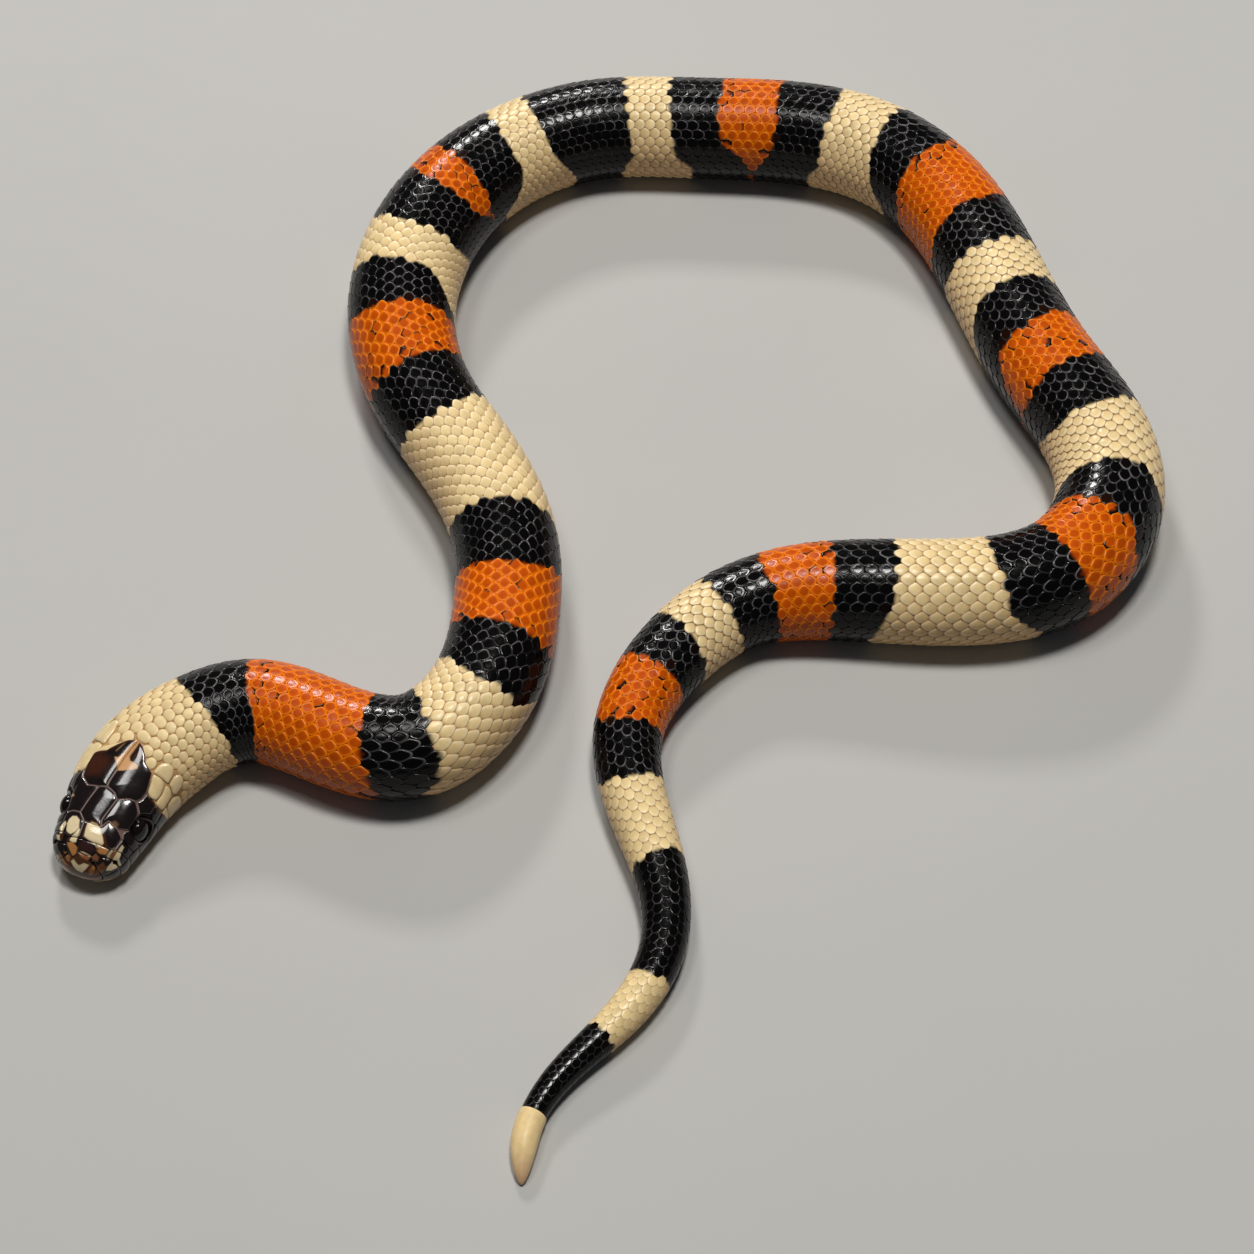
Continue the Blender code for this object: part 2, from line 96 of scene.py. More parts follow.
def spline_through(knots, values, where):
    bends = spline_bends(knots, values)
    i = np.clip(np.searchsorted(knots, where) - 1, 0, len(knots) - 2)
    gap = knots[i + 1] - knots[i]
    left = (knots[i + 1] - where) / gap
    right = 1 - left
    straight = left * values[i] + right * values[i + 1]
    return straight + ((left**3 - left) * bends[i] + (right**3 - right) * bends[i + 1]) * gap**2 / 6


class Spine:
    """The route as a smooth curve, read by distance from the snout."""

    def __init__(self, route):
        points = np.array(route) - BOX_MIDDLE
        knots = np.concatenate([[0], np.cumsum(np.hypot(*np.diff(points, axis=0).T))])
        fine = np.linspace(0, knots[-1], 6000)
        self.x, self.y = (spline_through(knots, line, fine) for line in points.T)
        self.run = np.concatenate([[0], np.cumsum(np.hypot(np.diff(self.x), np.diff(self.y)))])
        self.length = self.run[-1]
        self.along_x = np.gradient(self.x, self.run)
        self.along_y = np.gradient(self.y, self.run)

    def place(self, s):
        return np.interp(s, self.run, self.x), np.interp(s, self.run, self.y)

    def heading(self, s):
        ax = np.interp(s, self.run, self.along_x)
        ay = np.interp(s, self.run, self.along_y)
        size = np.hypot(ax, ay)
        return ax / size, ay / size


SPINE = Spine(ROUTE)
LENGTH = SPINE.length


def eased(stations, column, s):
    """A smooth line through one column of the stations that never overshoots them."""
    at = np.array([row[0] for row in stations], float)
    values = np.array([row[column] for row in stations], float)
    slopes = np.diff(values) / np.diff(at)
    tangents = np.zeros(len(at))
    for k in range(1, len(at) - 1):
        if slopes[k - 1] * slopes[k] > 0:
            tangents[k] = 2 * slopes[k - 1] * slopes[k] / (slopes[k - 1] + slopes[k])
    s = np.clip(s, at[0], at[-1])
    i = np.clip(np.searchsorted(at, s) - 1, 0, len(at) - 2)
    gap = at[i + 1] - at[i]
    t = (s - at[i]) / gap
    rise = values[i] * (2 * t**3 - 3 * t**2 + 1) + values[i + 1] * (3 * t**2 - 2 * t**3)
    return rise + gap * (tangents[i] * (t**3 - 2 * t**2 + t) + tangents[i + 1] * (t**3 - t**2))


def girth(s):
    """Half width, back, widest level, belly and squareness of the section at s."""
    half = eased(GIRTH, 1, s) / 2
    back, level = (eased(GIRTH, column, s) for column in (2, 3))
    belly = BELLY + eased(CHIN, 1, s)
    square = 2.0 + 0.35 * np.clip((34 - s) / 10, 0, 1)
    ahead = np.clip(s / SNOUT_ROUND, 0, 1)
    nose = (1 - (1 - ahead) ** 2.2) ** (1 / 2.2)
    half = half * nose
    back = level + (back - level) * nose
    belly = level - (level - belly) * nose
    left = np.clip((LENGTH - s) / TIP_ROUND, 0, 1)
    tip = (1 - (1 - left) ** 1.7) ** (1 / 1.6)
    half = half * tip
    back = belly + (back - belly) * tip
    level = belly + (level - belly) * tip
    return half, back, level, belly, square


def bare_skin(s, angle):
    """Points of the skin, with the angle in radians from the middle of the back."""
    s = np.clip(s, 0.0004, LENGTH - 0.03)
    half, back, level, belly, square = girth(s)
    sine, cosine = np.sin(angle), np.cos(angle)
    side = np.sign(sine) * np.abs(sine) ** (2 / square) * half
    up = np.sign(cosine) * np.abs(cosine) ** (2 / square)
    low = np.maximum(belly, level + up * (level - belly) * BELLY_DEPTH_SHARE)
    height = np.where(up > 0, level + up * (back - level), low)
    x, y = SPINE.place(s)
    ax, ay = SPINE.heading(s)
    return np.stack([x - ay * side, y + ax * side, height], axis=-1)


def skin_normal(s, angle):
    step, turn = 0.06, 0.012
    along = bare_skin(s + step, angle) - bare_skin(s - step, angle)
    across = bare_skin(s, angle + turn) - bare_skin(s, angle - turn)
    normal = np.cross(along, across)
    return normal / np.maximum(np.linalg.norm(normal, axis=-1, keepdims=True), 1e-12)


def on_skin(s, angle, rise):
    s, angle, rise = np.broadcast_arrays(s, angle, rise)
    points = bare_skin(s, angle) + skin_normal(s, angle) * rise[..., None]
    points[..., 2] = np.maximum(points[..., 2], 0.0)
    return points


def mouth_angle(s):
    """The angle from the back, in degrees, at which the mouth line crosses the skin."""
    _, _, level, belly, square = girth(s)
    height = np.interp(s, [t for t, _ in MOUTH], [z for _, z in MOUTH])
    drop = np.clip((level - height) / ((level - belly) * BELLY_DEPTH_SHARE), 0, 0.98)
    return 180 - np.degrees(np.arccos(drop ** (square / 2)))


# The markings

CREAM, BLACK, ORANGE = 0, 1, 2
CREAM_COLOUR = np.array([0.80, 0.62, 0.33])
TAN_COLOUR = np.array([0.50, 0.29, 0.12])
BLACK_COLOUR = np.array([0.0017, 0.0014, 0.0014])
# The pale rim of a black scale is a painted highlight
BLACK_RIM_GLINT = np.array([0.15, 0.142, 0.145])
ORANGE_COLOUR = np.array([0.50, 0.070, 0.0008])
RIM_ORANGE = np.array([0.84, 0.195, 0.002])

# Where each band ends, from the snout: at eight angles, from low on the left flank, over the middle
# of the back, to low on the right flank
BAND_ANGLES = [-100.0, -80.0, -60.0, -30.0, 0.0, 30.0, 60.0, 100.0]
BANDS = [
    (CREAM, 39.2, 38.0, 37.5, 36.0, 34.6, 34.2, 34.3, 35.5),
    (BLACK, 47.9, 47.3, 47.6, 45.5, 44.0, 44.0, 43.6, 42.5),
    (ORANGE, 68.8, 68.5, 67.6, 66.5, 65.7, 65.7, 65.0, 65.5),
    (BLACK, 74.0, 75.2, 76.1, 75.8, 76.5, 77.8, 79.0, 80.5),
    (CREAM, 93.0, 90.2, 88.6, 88.6, 87.7, 89.2, 91.2, 94.5),
    (BLACK, 99.8, 99.6, 99.2, 99.8, 99.9, 100.3, 101.2, 102.8),
    (ORANGE, 115.0, 114.4, 113.8, 112.8, 112.9, 113.1, 113.6, 113.5),
    (BLACK, 120.5, 122.8, 124.6, 126.0, 127.0, 127.7, 128.0, 127.6),
    (CREAM, 153.5, 152.6, 151.9, 150.9, 150.0, 150.4, 151.3, 152.4),
    (BLACK, 165.2, 164.8, 164.4, 163.8, 163.6, 163.2, 162.9, 163.4),
    (ORANGE, 174.0, 174.6, 175.4, 176.3, 176.8, 177.0, 177.2, 178.4),
    (BLACK, 175.4, 176.2, 181.0, 185.8, 186.6, 187.5, 187.2, 188.6),
    (CREAM, 199.4, 197.0, 195.1, 196.0, 195.8, 197.0, 198.5, 200.5),
    (BLACK, 212.0, 211.4, 207.4, 207.0, 207.2, 208.7, 210.8, 214.5),
    (ORANGE, 212.0, 211.6, 212.5, 213.8, 215.0, 215.5, 216.8, 216.0),
    (BLACK, 217.5, 223.0, 224.9, 224.6, 225.8, 226.9, 227.8, 222.5),
    (CREAM, 239.3, 235.8, 233.7, 233.5, 233.6, 234.2, 235.0, 239.5),
    (BLACK, 251.7, 254.0, 253.4, 252.9, 252.7, 252.7, 252.4, 250.5),
    (CREAM, 266.2, 263.2, 262.1, 261.8, 261.1, 261.5, 262.2, 265.8),
    (BLACK, 278.0, 275.4, 272.0, 270.5, 271.8, 271.8, 272.6, 277.5),
    (ORANGE, 278.2, 281.0, 282.1, 282.9, 282.4, 282.9, 283.8, 279.5),
    (BLACK, 290.8, 293.4, 293.1, 293.2, 294.2, 294.0, 293.6, 291.0),
    (CREAM, 312.9, 308.4, 306.5, 305.3, 304.7, 304.6, 305.2, 309.5),
    (BLACK, 319.5, 318.0, 316.6, 315.0, 315.4, 315.8, 313.8, 315.5),
    (ORANGE, 335.2, 334.0, 332.6, 330.8, 330.7, 330.0, 329.6, 330.5),
    (BLACK, 341.5, 342.2, 341.7, 340.9, 341.4, 341.0, 341.2, 341.8),
    (CREAM, 358.8, 354.6, 352.7, 351.5, 351.0, 351.3, 351.8, 353.5),
    (BLACK, 374.0, 366.6, 363.2, 362.4, 361.7, 360.9, 361.4, 365.5),
    (ORANGE, 374.2, 374.6, 374.3, 373.0, 372.9, 373.2, 372.1, 371.5),
    (BLACK, 381.0, 383.4, 384.6, 383.8, 384.3, 383.8, 383.2, 382.0),
    (CREAM, 407.5, 405.5, 400.6, 398.2, 397.3, 397.5, 400.0, 403.5),
    (BLACK, 411.5, 411.0, 410.0, 407.9, 407.7, 407.9, 410.0, 412.0),
    (ORANGE, 418.8, 419.0, 419.4, 419.9, 419.8, 419.4, 419.3, 419.3),
    (BLACK, 426.5, 430.5, 432.3, 432.7, 432.4, 431.4, 431.0, 426.0),
    (CREAM, 453.5, 451.4, 450.2, 449.8, 449.4, 449.8, 450.1, 453.5),
    (BLACK, 461.2, 461.2, 461.2, 461.1, 460.5, 460.6, 460.8, 461.3),
    (ORANGE, 471.5, 472.0, 472.0, 472.9, 472.8, 471.9, 472.5, 471.8),
    (BLACK, 481.0, 481.6, 481.9, 481.9, 482.4, 482.0, 482.5, 481.4),
    (CREAM, 493.0, 491.4, 490.3, 490.7, 490.9, 491.7, 492.3, 493.2),
    (BLACK, 499.5, 499.4, 499.4, 500.0, 499.6, 500.0, 500.0, 500.5),
    (ORANGE, 510.0, 510.4, 511.4, 511.9, 512.1, 511.3, 511.9, 512.3),
    (BLACK, 520.8, 521.3, 522.1, 522.8, 523.3, 523.1, 523.1, 522.0),
    (CREAM, 539.2, 538.8, 538.5, 538.1, 537.8, 537.5, 537.8, 538.6),
    (BLACK, 561.4, 561.4, 561.3, 560.8, 560.9, 560.5, 560.2, 560.0),
    (CREAM, 573.5, 573.5, 573.5, 573.4, 573.3, 573.4, 573.5, 573.8),
    (BLACK, 591.5, 591.5, 591.5, 592.0, 592.1, 592.0, 591.8, 591.5),
    (CREAM, 650, 650, 650, 650, 650, 650, 650, 650),
]
# How much black lies between the scales of each orange band, by the place of the band in the list
SOOT = {2: 0.02, 6: 0.1, 10: 0.25, 14: 0.6, 20: 0.15, 24: 0.04, 28: 0.12, 32: 0.2, 36: 0.15, 40: 0.12}
BAND_KINDS = np.array([band[0] for band in BANDS])
BAND_ENDS = np.array([band[1:] for band in BANDS], float)


def band_ends(degrees):
    """Where every band ends at the given angle: one row of ends for each angle."""
    turn = np.asarray(degrees, float)
    degrees = np.clip(turn, BAND_ANGLES[0], BAND_ANGLES[-1])
    k = np.clip(np.searchsorted(BAND_ANGLES, degrees) - 1, 0, len(BAND_ANGLES) - 2)
    angles = np.array(BAND_ANGLES)
    share = ((degrees - angles[k]) / (angles[k + 1] - angles[k]))[..., None]
    ends = BAND_ENDS.T[k] * (1 - share) + BAND_ENDS.T[k + 1] * share
    # Under the belly the ends run over from those of one flank to those of the other
    over = (np.clip(np.abs(turn) - BAND_ANGLES[-1], 0, 80) / 160)[..., None]
    other = BAND_ENDS.T[np.where(turn > 0, 0, len(BAND_ANGLES) - 1)]
    return ends * (1 - over) + other * over


def marking(s, degrees):
    """The kind of band at each place, how far it is to the nearest edge, its number in the list, and
    the kind of band on the other side of that edge."""
    ends = band_ends(degrees)
    s = np.asarray(s, float)
    index = np.minimum((s[..., None] > ends).sum(-1), len(BANDS) - 1)
    gaps = np.abs(s[..., None] - ends)
    nearest = gaps.argmin(-1)
    beside = BAND_KINDS[np.where(index == nearest, nearest + 1, nearest)]
    return BAND_KINDS[index], gaps.min(-1), index, beside


def noise_1d(values, seed):
    """Smooth drawn noise along a line, between -1 and 1."""
    period = 4096
    draws = np.random.default_rng(seed).uniform(-1, 1, period)
    whole = np.floor(values).astype(int)
    part = values - whole
    part = part * part * (3 - 2 * part)
    return blend(draws[whole % period], draws[(whole + 1) % period], part)


def blend(under, over, share):
    """The first values, covered by the others by a share between 0 and 1."""
    return under * (1 - share) + over * share


def side_cream_and_shade(degrees, most):
    """Cream that turns towards tan down the sides of the head: partly the snake's own tan, partly painted
    shade.
    """
    low = np.clip((np.abs(degrees) - 50) / 55, 0, 1)[:, None]
    return blend(CREAM_COLOUR, TAN_COLOUR, most * low)


# Meshes

def make_object(name, points, faces, colours=None, bake=None, material=None):
    """A mesh from points in millimetres, with a colour and a bake place for each point or corner."""
    mesh = bpy.data.meshes.new(name)
    mesh.from_pydata((np.asarray(points) * MM).tolist(), [], faces)
    mesh.update()
    if colours is not None:
        layer = mesh.color_attributes.new("Col", "FLOAT_COLOR", "POINT")
        rgba = np.ones((len(points), 4), np.float32)
        rgba[:, :3] = np.clip(colours, 0, 1)
        layer.data.foreach_set("color", rgba.ravel())
    if bake is not None:
        corners = np.zeros(len(mesh.loops), np.int32)
        mesh.loops.foreach_get("vertex_index", corners)
        bake = np.asarray(bake, np.float32)
        if len(bake) == len(points):
            bake = bake[corners]
        layer = mesh.uv_layers.new(name="OFBake")
        layer.data.foreach_set("uv", bake.ravel())
    mesh.shade_smooth()
    obj = bpy.data.objects.new(name, mesh)
    bpy.context.scene.collection.objects.link(obj)
    if material is not None:
        mesh.materials.append(material)
    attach(obj, "root")
    return obj


def grid_faces(rows, columns):
    """Quads over rings of points, each ring joined to the next."""
    faces = []
    for row in range(rows - 1):
        for k in range(columns):
            following = (k + 1) % columns
            a = row * columns
            faces.append((a + k, a + columns + k, a + columns + following, a + following))
    return faces


def tube_faces(rows, sides):
    """Quads over a tube of rings, with one face to close each end."""
    last = (rows - 1) * sides
    ends = [tuple(range(sides)), tuple(last + k for k in reversed(range(sides)))]
    return grid_faces(rows, sides) + ends


# Materials

def new_material(name):
    """A material with its nodes, its links and its shader."""
    material = bpy.data.materials.new(name)
    material.use_nodes = True
    nodes = material.node_tree.nodes
    return material, nodes, material.node_tree.links, nodes["Principled BSDF"]


def set_inputs(node, values):
    for name, value in values.items():
        node.inputs[name].default_value = value
    return node


def object_noise(nodes, links, values):
    """Noise that lies still on the object."""
    place = nodes.new("ShaderNodeTexCoord")
    noise = set_inputs(nodes.new("ShaderNodeTexNoise"), values)
    links.new(place.outputs["Object"], noise.inputs["Vector"])
    return noise


def tinted_paint(nodes, links, noise, spread):
    """Gives the shader the painted colour, made lighter and darker by the noise."""
    paint = nodes.new("ShaderNodeAttribute")
    paint.attribute_name = "Col"
    tone = set_inputs(nodes.new("ShaderNodeMapRange"), spread)
    links.new(noise.outputs["Fac"], tone.inputs["Value"])
    tint = nodes.new("ShaderNodeVectorMath")
    tint.operation = "SCALE"
    links.new(paint.outputs["Color"], tint.inputs[0])
    links.new(tone.outputs["Result"], tint.inputs["Scale"])
    links.new(tint.outputs["Vector"], nodes["Principled BSDF"].inputs["Base Color"])
    return paint


def node_material(name, roughness, gloss, coat, grain_scale, grain_strength):
    """A skin whose colour comes from the painted points, with fine relief and mottling."""
    material, nodes, links, shader = new_material(name)
    set_inputs(shader, {"Coat Weight": coat, "Coat Roughness": 0.12, "Specular IOR Level": gloss})
    mottle = object_noise(nodes, links, {"Scale": 900, "Detail": 4})
    spread = {"From Min": 0.3, "From Max": 0.7, "To Min": 0.93, "To Max": 1.07}
    paint = tinted_paint(nodes, links, mottle, spread)
    # Dark paint is glossier than pale paint, and the mottling makes both a little rougher
    grey = nodes.new("ShaderNodeRGBToBW")
    links.new(paint.outputs["Color"], grey.inputs["Color"])
    by_tone = {"From Max": 0.25, "To Min": roughness - 0.1, "To Max": roughness}
    finish = set_inputs(nodes.new("ShaderNodeMapRange"), by_tone)
    links.new(grey.outputs["Val"], finish.inputs["Value"])
    wear = nodes.new("ShaderNodeMath")
    wear.operation = "MULTIPLY_ADD"
    wear.inputs[1].default_value = 0.12
    links.new(mottle.outputs["Fac"], wear.inputs[0])
    links.new(finish.outputs["Result"], wear.inputs[2])
    links.new(wear.outputs["Value"], shader.inputs["Roughness"])
    grain = object_noise(nodes, links, {"Scale": grain_scale, "Detail": 3})
    bump = set_inputs(nodes.new("ShaderNodeBump"), {"Strength": grain_strength, "Distance": 0.0001})
    links.new(grain.outputs["Fac"], bump.inputs["Height"])
    links.new(bump.outputs["Normal"], shader.inputs["Normal"])
    return material


scale_finish = node_material("scale_keratin", 0.2, 0.2, 0.0, 2600, 0.16)
skin_finish = node_material("skin_between_scales", 0.5, 0.15, 0.0, 2500, 0.3)
shield_finish = node_material("head_shield_keratin", 0.16, 0.35, 0.5, 1500, 0.08)
belly_finish = node_material("belly_scute_keratin", 0.28, 0.2, 0.0, 1500, 0.1)


# The skin under the scales: one surface from the snout to the tail tip

SKIN_SIDES = 96
SKIN_SINK = 0.12
# The crease along the mouth, and the pit of each nostril
CREASE_DEPTH = 0.5
CREASE_DEGREES = 2.5
CREASE_END = 22.5
NOSTRIL_DEPTH = 0.7
NOSTRIL_RADIUS = 0.42
SNOUT_HALF_WIDTH = 6.2
# The top of the head, where the seams between the shields are painted pale: partly pale skin, partly painted
# highlight
TOP_DEGREES = 47
TOP_START = 4.5


def skin_colours(s, degrees):
    kinds = marking(s, degrees)[0]
    colours = np.empty(s.shape + (3,))
    colours[kinds == CREAM] = TAN_COLOUR
    colours[kinds == BLACK] = BLACK_COLOUR * 2
    colours[kinds == ORANGE] = RIM_ORANGE * 0.7
    under_cap = s < cap_rear(degrees)
    colours[under_cap] = (0.012, 0.006, 0.005)
    # Pale seam skin on top of the head: partly pale skin, partly painted highlight
    colours[under_cap & (s > TOP_START) & (np.abs(degrees) < TOP_DEGREES)] = (0.16, 0.095, 0.08)
    colours[(s > 17.0) & (s < 23.5) & (np.abs(degrees) < 5)] = (0.50, 0.27, 0.12)
    colours[under_cap & (np.abs(degrees) > 128)] = (0.30, 0.19, 0.10)
    return colours


def cap_rear(degrees):
    """How far back from the snout the dark cap of the head reaches at each angle."""
    at = [-180, -110, -100, -90, -75, -58, -48, -40, -33, -30, -24, -18, -12, -6, 0, 8, 15, 20, 25, 38,
          48, 55, 62, 75, 90, 110, 180]
    reach = [13, 16.6, 16.1, 15.4, 15.0, 15.2, 15.6, 16.8, 18.5, 19.8, 20.2, 20.6, 21.8, 22.7, 23.1,
             22.0, 20.5, 19.3, 18.9, 18.4, 17.5, 17.1, 16.6, 15.8, 15.4, 16.6, 13]
    return np.interp(degrees, at, reach)


def tube_bake(shares, sides):
    """The bake places of a tube cut open along one side, with a small disc for each of its ends."""
    row, column = np.meshgrid(np.arange(len(shares) - 1), np.arange(sides), indexing="ij")
    rows = np.stack([row, row + 1, row + 1, row], -1)
    columns = np.stack([column, column, column + 1, column + 1], -1)
    corners = np.stack([0.01 + 0.98 * shares[rows], 0.01 + 0.98 * columns / sides], -1).reshape(-1, 2)
    turns = np.linspace(0, 2 * np.pi, sides, endpoint=False)
    disc = 0.003 * np.stack([np.cos(turns), np.sin(turns)], -1)
    return np.concatenate([corners, disc + [0.005, 0.5], disc[::-1] + [0.995, 0.5]])


def make_skin():
    snout = [0.002, 0.01, 0.04, 0.1, 0.25, 0.5]
    tip = LENGTH - np.array([7, 6, 5, 4, 3, 2.2, 1.5, 1.0, 0.6, 0.3, 0.1])
    places = np.concatenate([snout, np.arange(0.8, 28, 0.36), np.arange(28, LENGTH - 8, 1.2), tip])
    turns = np.linspace(0, 2 * np.pi, SKIN_SIDES, endpoint=False)
    s, angle = np.meshgrid(places, turns, indexing="ij")
    degrees = (np.degrees(angle) + 180) % 360 - 180
    sink = np.full(s.shape, SKIN_SINK)
    near_mouth = np.abs(np.abs(degrees) - mouth_angle(s))
    sink += CREASE_DEPTH * np.exp(-(near_mouth / CREASE_DEGREES) ** 2) * (s < CREASE_END)
    t, at = NOSTRIL_AT
    off = np.hypot(s - t, np.radians(np.abs(degrees) - at) * SNOUT_HALF_WIDTH)
    sink += NOSTRIL_DEPTH * np.exp(-(off / NOSTRIL_RADIUS) ** 4)
    points = sink_sockets(on_skin(s, angle, -sink))
    colours = skin_colours(s, degrees)
    # The nostril pit is painted near black, as painted shade in the hole
    colours[off < 0.5] = (0.002, 0.0015, 0.0015)
    faces = tube_faces(len(places), SKIN_SIDES)
    bake = tube_bake(places / LENGTH, SKIN_SIDES)
    skin = make_object("skin", points.reshape(-1, 3), faces, colours.reshape(-1, 3), bake, skin_finish)
    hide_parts(*FLESH)


def head_axes():
    ax, ay = SPINE.heading(6)
    x, y = SPINE.place(0.0)
    return np.array([x, y, 0.0]), np.array([ax, ay, 0.0]), np.array([-ay, ax, 0.0])


def eye_centre(side):
    snout, ahead, across = head_axes()
    t, lateral, height = EYE_AT
    return snout + ahead * t + across * lateral * side + np.array([0, 0, height])


def sink_sockets(points):
    """Presses a bowl for each eye into the skin."""
    _, ahead, across = head_axes()
    wide, deep = EYE_RADIUS + SOCKET_MARGIN, EYE_DEPTH + SOCKET_CLEARANCE
    for side in (-1, 1):
        local = points - eye_centre(side)
        share = ((local @ ahead) ** 2 + local[..., 2] ** 2) / wide**2
        out = (local @ across) * side
        inside = (share < 1) & (np.abs(out) < deep + 1)
        bowl = -deep * np.sqrt(np.clip(1 - share, 0, 1))
        move = np.where(inside, np.minimum(0, bowl - out), 0.0)
        points = points + move[..., None] * across * side
    return points


make_skin()


# The lattice of scales over the back and the flanks

ROWS = 27
COAT_HALF = 130.0
SCALE_SEGMENTS = 18
SCALE_RINGS = np.array([0.5, 0.72, 0.84, 0.93, 1.0])
COAT_START = 20.0
BARE_TIP = 10.0
NAPE_END = 34.5
# The relief of a cream scale, and of the others
CREAM_LIFT, LIFT = 0.105, 0.075
CREAM_SWELL, SWELL = 0.13, 0.06
CREAM_RIDGE, RIDGE = 0.0, 0.065
BASE_RISE = 0.12


def pitch_at(s):
    """The length of one scale along the body."""
    at = [20, 34, 45, 60, 120, 150, 200, 250, 300, 390, 440, 480, 515, 540, 566, 590]
    pitch = [1.9, 1.95, 2.25, 2.4, 2.75, 2.6, 2.3, 2.15, 2.25, 2.4, 2.6, 2.4, 2.2, 2.0, 1.75, 1.55]
    return np.interp(s, at, pitch)


def rows_at(s):
    """How many rows of scales lie over the back, where the tail loses them pair by pair."""
    at = [20, 45, 120, 200, 420, 460, 500, 515, 540, 566, 592]
    return np.interp(s, at, [23, 24, 27, 25, 25, 23, 19, 17, 13, 11, 8])


def row_places(s, row):
    """The middle and half width, in degrees, of one row of scales, and how whole the row is."""
    count = rows_at(s)
    far = abs(row)
    weights = [np.clip(count / 2 + 0.5 - k, 0, 1) for k in range(ROWS // 2 + 1)]
    total = weights[0] / 2 + sum(weights[1:])
    before = 0 if far == 0 else weights[0] / 2 + sum(weights[1:far])
    own = weights[far]
    centre = (before + own / 2) / total * COAT_HALF if far else 0 * s
    return np.sign(row) * centre, own / total * COAT_HALF / 2, own


def shields_rear(degrees):
    """How far back the large shields of the head reach at each angle."""
    at = [0, 8, 15, 22, 28, 33, 38, 46, 56, 66, 76, 84, 95, 106, 118, 130]
    rear = [23.1, 22.1, 20.9, 20.2, 19.8, 23.2, 23.8, 24.0, 24.3, 24.7, 23.6, 22.3, 22.0, 21.9, 21.8, 20.4]
    return np.interp(np.abs(degrees), at, rear)


def scale_places():
    """The lattice: place, angle, half length, half width in degrees and row of every scale."""
    ends = [COAT_START]
    while ends[-1] < LENGTH - BARE_TIP:
        ends.append(ends[-1] + float(pitch_at(ends[-1])))
    ends = np.array(ends)
    middles = (ends[:-1] + ends[1:]) / 2
    found = []
    for row in range(-(ROWS // 2), ROWS // 2 + 1):
        line = ends if row % 2 == 0 else middles
        centre, half, whole = row_places(line, row)
        half_length = pitch_at(line) / 2
        free = (whole > 0.4) & (line > shields_rear(centre) + 0.7 * half_length)
        free &= line < LENGTH - BARE_TIP - 0.5
        line, centre, half, half_length = line[free], centre[free], half[free], half_length[free]
        # The first scales of a row are drawn forward to meet the shields
        slack = line[0] - half_length[0] - shields_rear(centre[0]) if line[0] < 30 else 0.0
        fade = np.exp(-(line - line[0]) / 5)
        half_length = half_length * (1 + slack / 5 * fade)
        line = line - slack * fade
        found += [(s, c, h, w, row) for s, c, h, w in zip(line, centre, half_length, half)]
    return np.array(sorted(found))


def scale_colours(s, degrees, draws):
    """The body and rim colours of each scale for every kind of band, and which scales are sooty. The rims of
    cream and black scales are painted highlights, and down the flanks the colours darken, partly as painted
    shade.
    """
    kinds, away, index, beside = marking(s, degrees)
    count = len(s)
    body = np.empty((count, 3, 3))
    rim = np.empty((count, 3, 3))
    shade = draws.uniform(0.9, 1.08, (count, 1))
    # Down the flanks the cream turns tan, partly its own colour and partly painted shade
    low = np.clip((np.abs(degrees) - 38) / 60, 0, 1)[:, None]
    cream = blend(CREAM_COLOUR, TAN_COLOUR, 0.75 * low)
    contrast = np.interp(s, [30, 60], [0.35, 1.0])[:, None]
    body[:, CREAM] = cream * shade * (1 - contrast * [0.0, 0.02, 0.08])
    # The rim of a cream scale is paler and whiter than its body, a painted highlight
    rim[:, CREAM] = cream * (1 + 0.1 * contrast) + contrast * [0.04, 0.08, 0.11]
    body[:, BLACK] = BLACK_COLOUR * (0.8 + 0.5 * (shade - 0.9))
    # Black scales beside a paler band are now and then tinged with brown
    tinged = (away < 1.4) & (draws.uniform(size=count) < 0.12)
    body[tinged & (beside == ORANGE), BLACK] = (0.012, 0.003, 0.001)
    body[tinged & (beside == CREAM), BLACK] = (0.004, 0.002, 0.0015)
    # The painted highlight on the rims of black scales is brightest on the back and fades down the flanks
    glint_fall = np.clip(1.1 - np.abs(degrees) / 75, 0.05, 1)[:, None]
    rim[:, BLACK] = BLACK_RIM_GLINT * glint_fall * draws.uniform(0.2, 1.3, (count, 1)) ** 1.5
    # The orange body and rim darken down the flanks as painted shade
    body[:, ORANGE] = ORANGE_COLOUR * shade * (1 - 0.35 * low)
    rim[:, ORANGE] = RIM_ORANGE * (1 - 0.3 * low)
    inner = np.array([SOOT.get(k, 0.0) for k in index])
    inner = inner * np.clip(1.25 - np.abs(degrees + 10) / 110, 0, 1)
    chance = np.maximum(0.85 * np.exp(-(away / 1.5) ** 2), inner)
    sooty = (kinds == ORANGE) & (draws.uniform(size=count) < chance)
    return body, rim, sooty, kinds


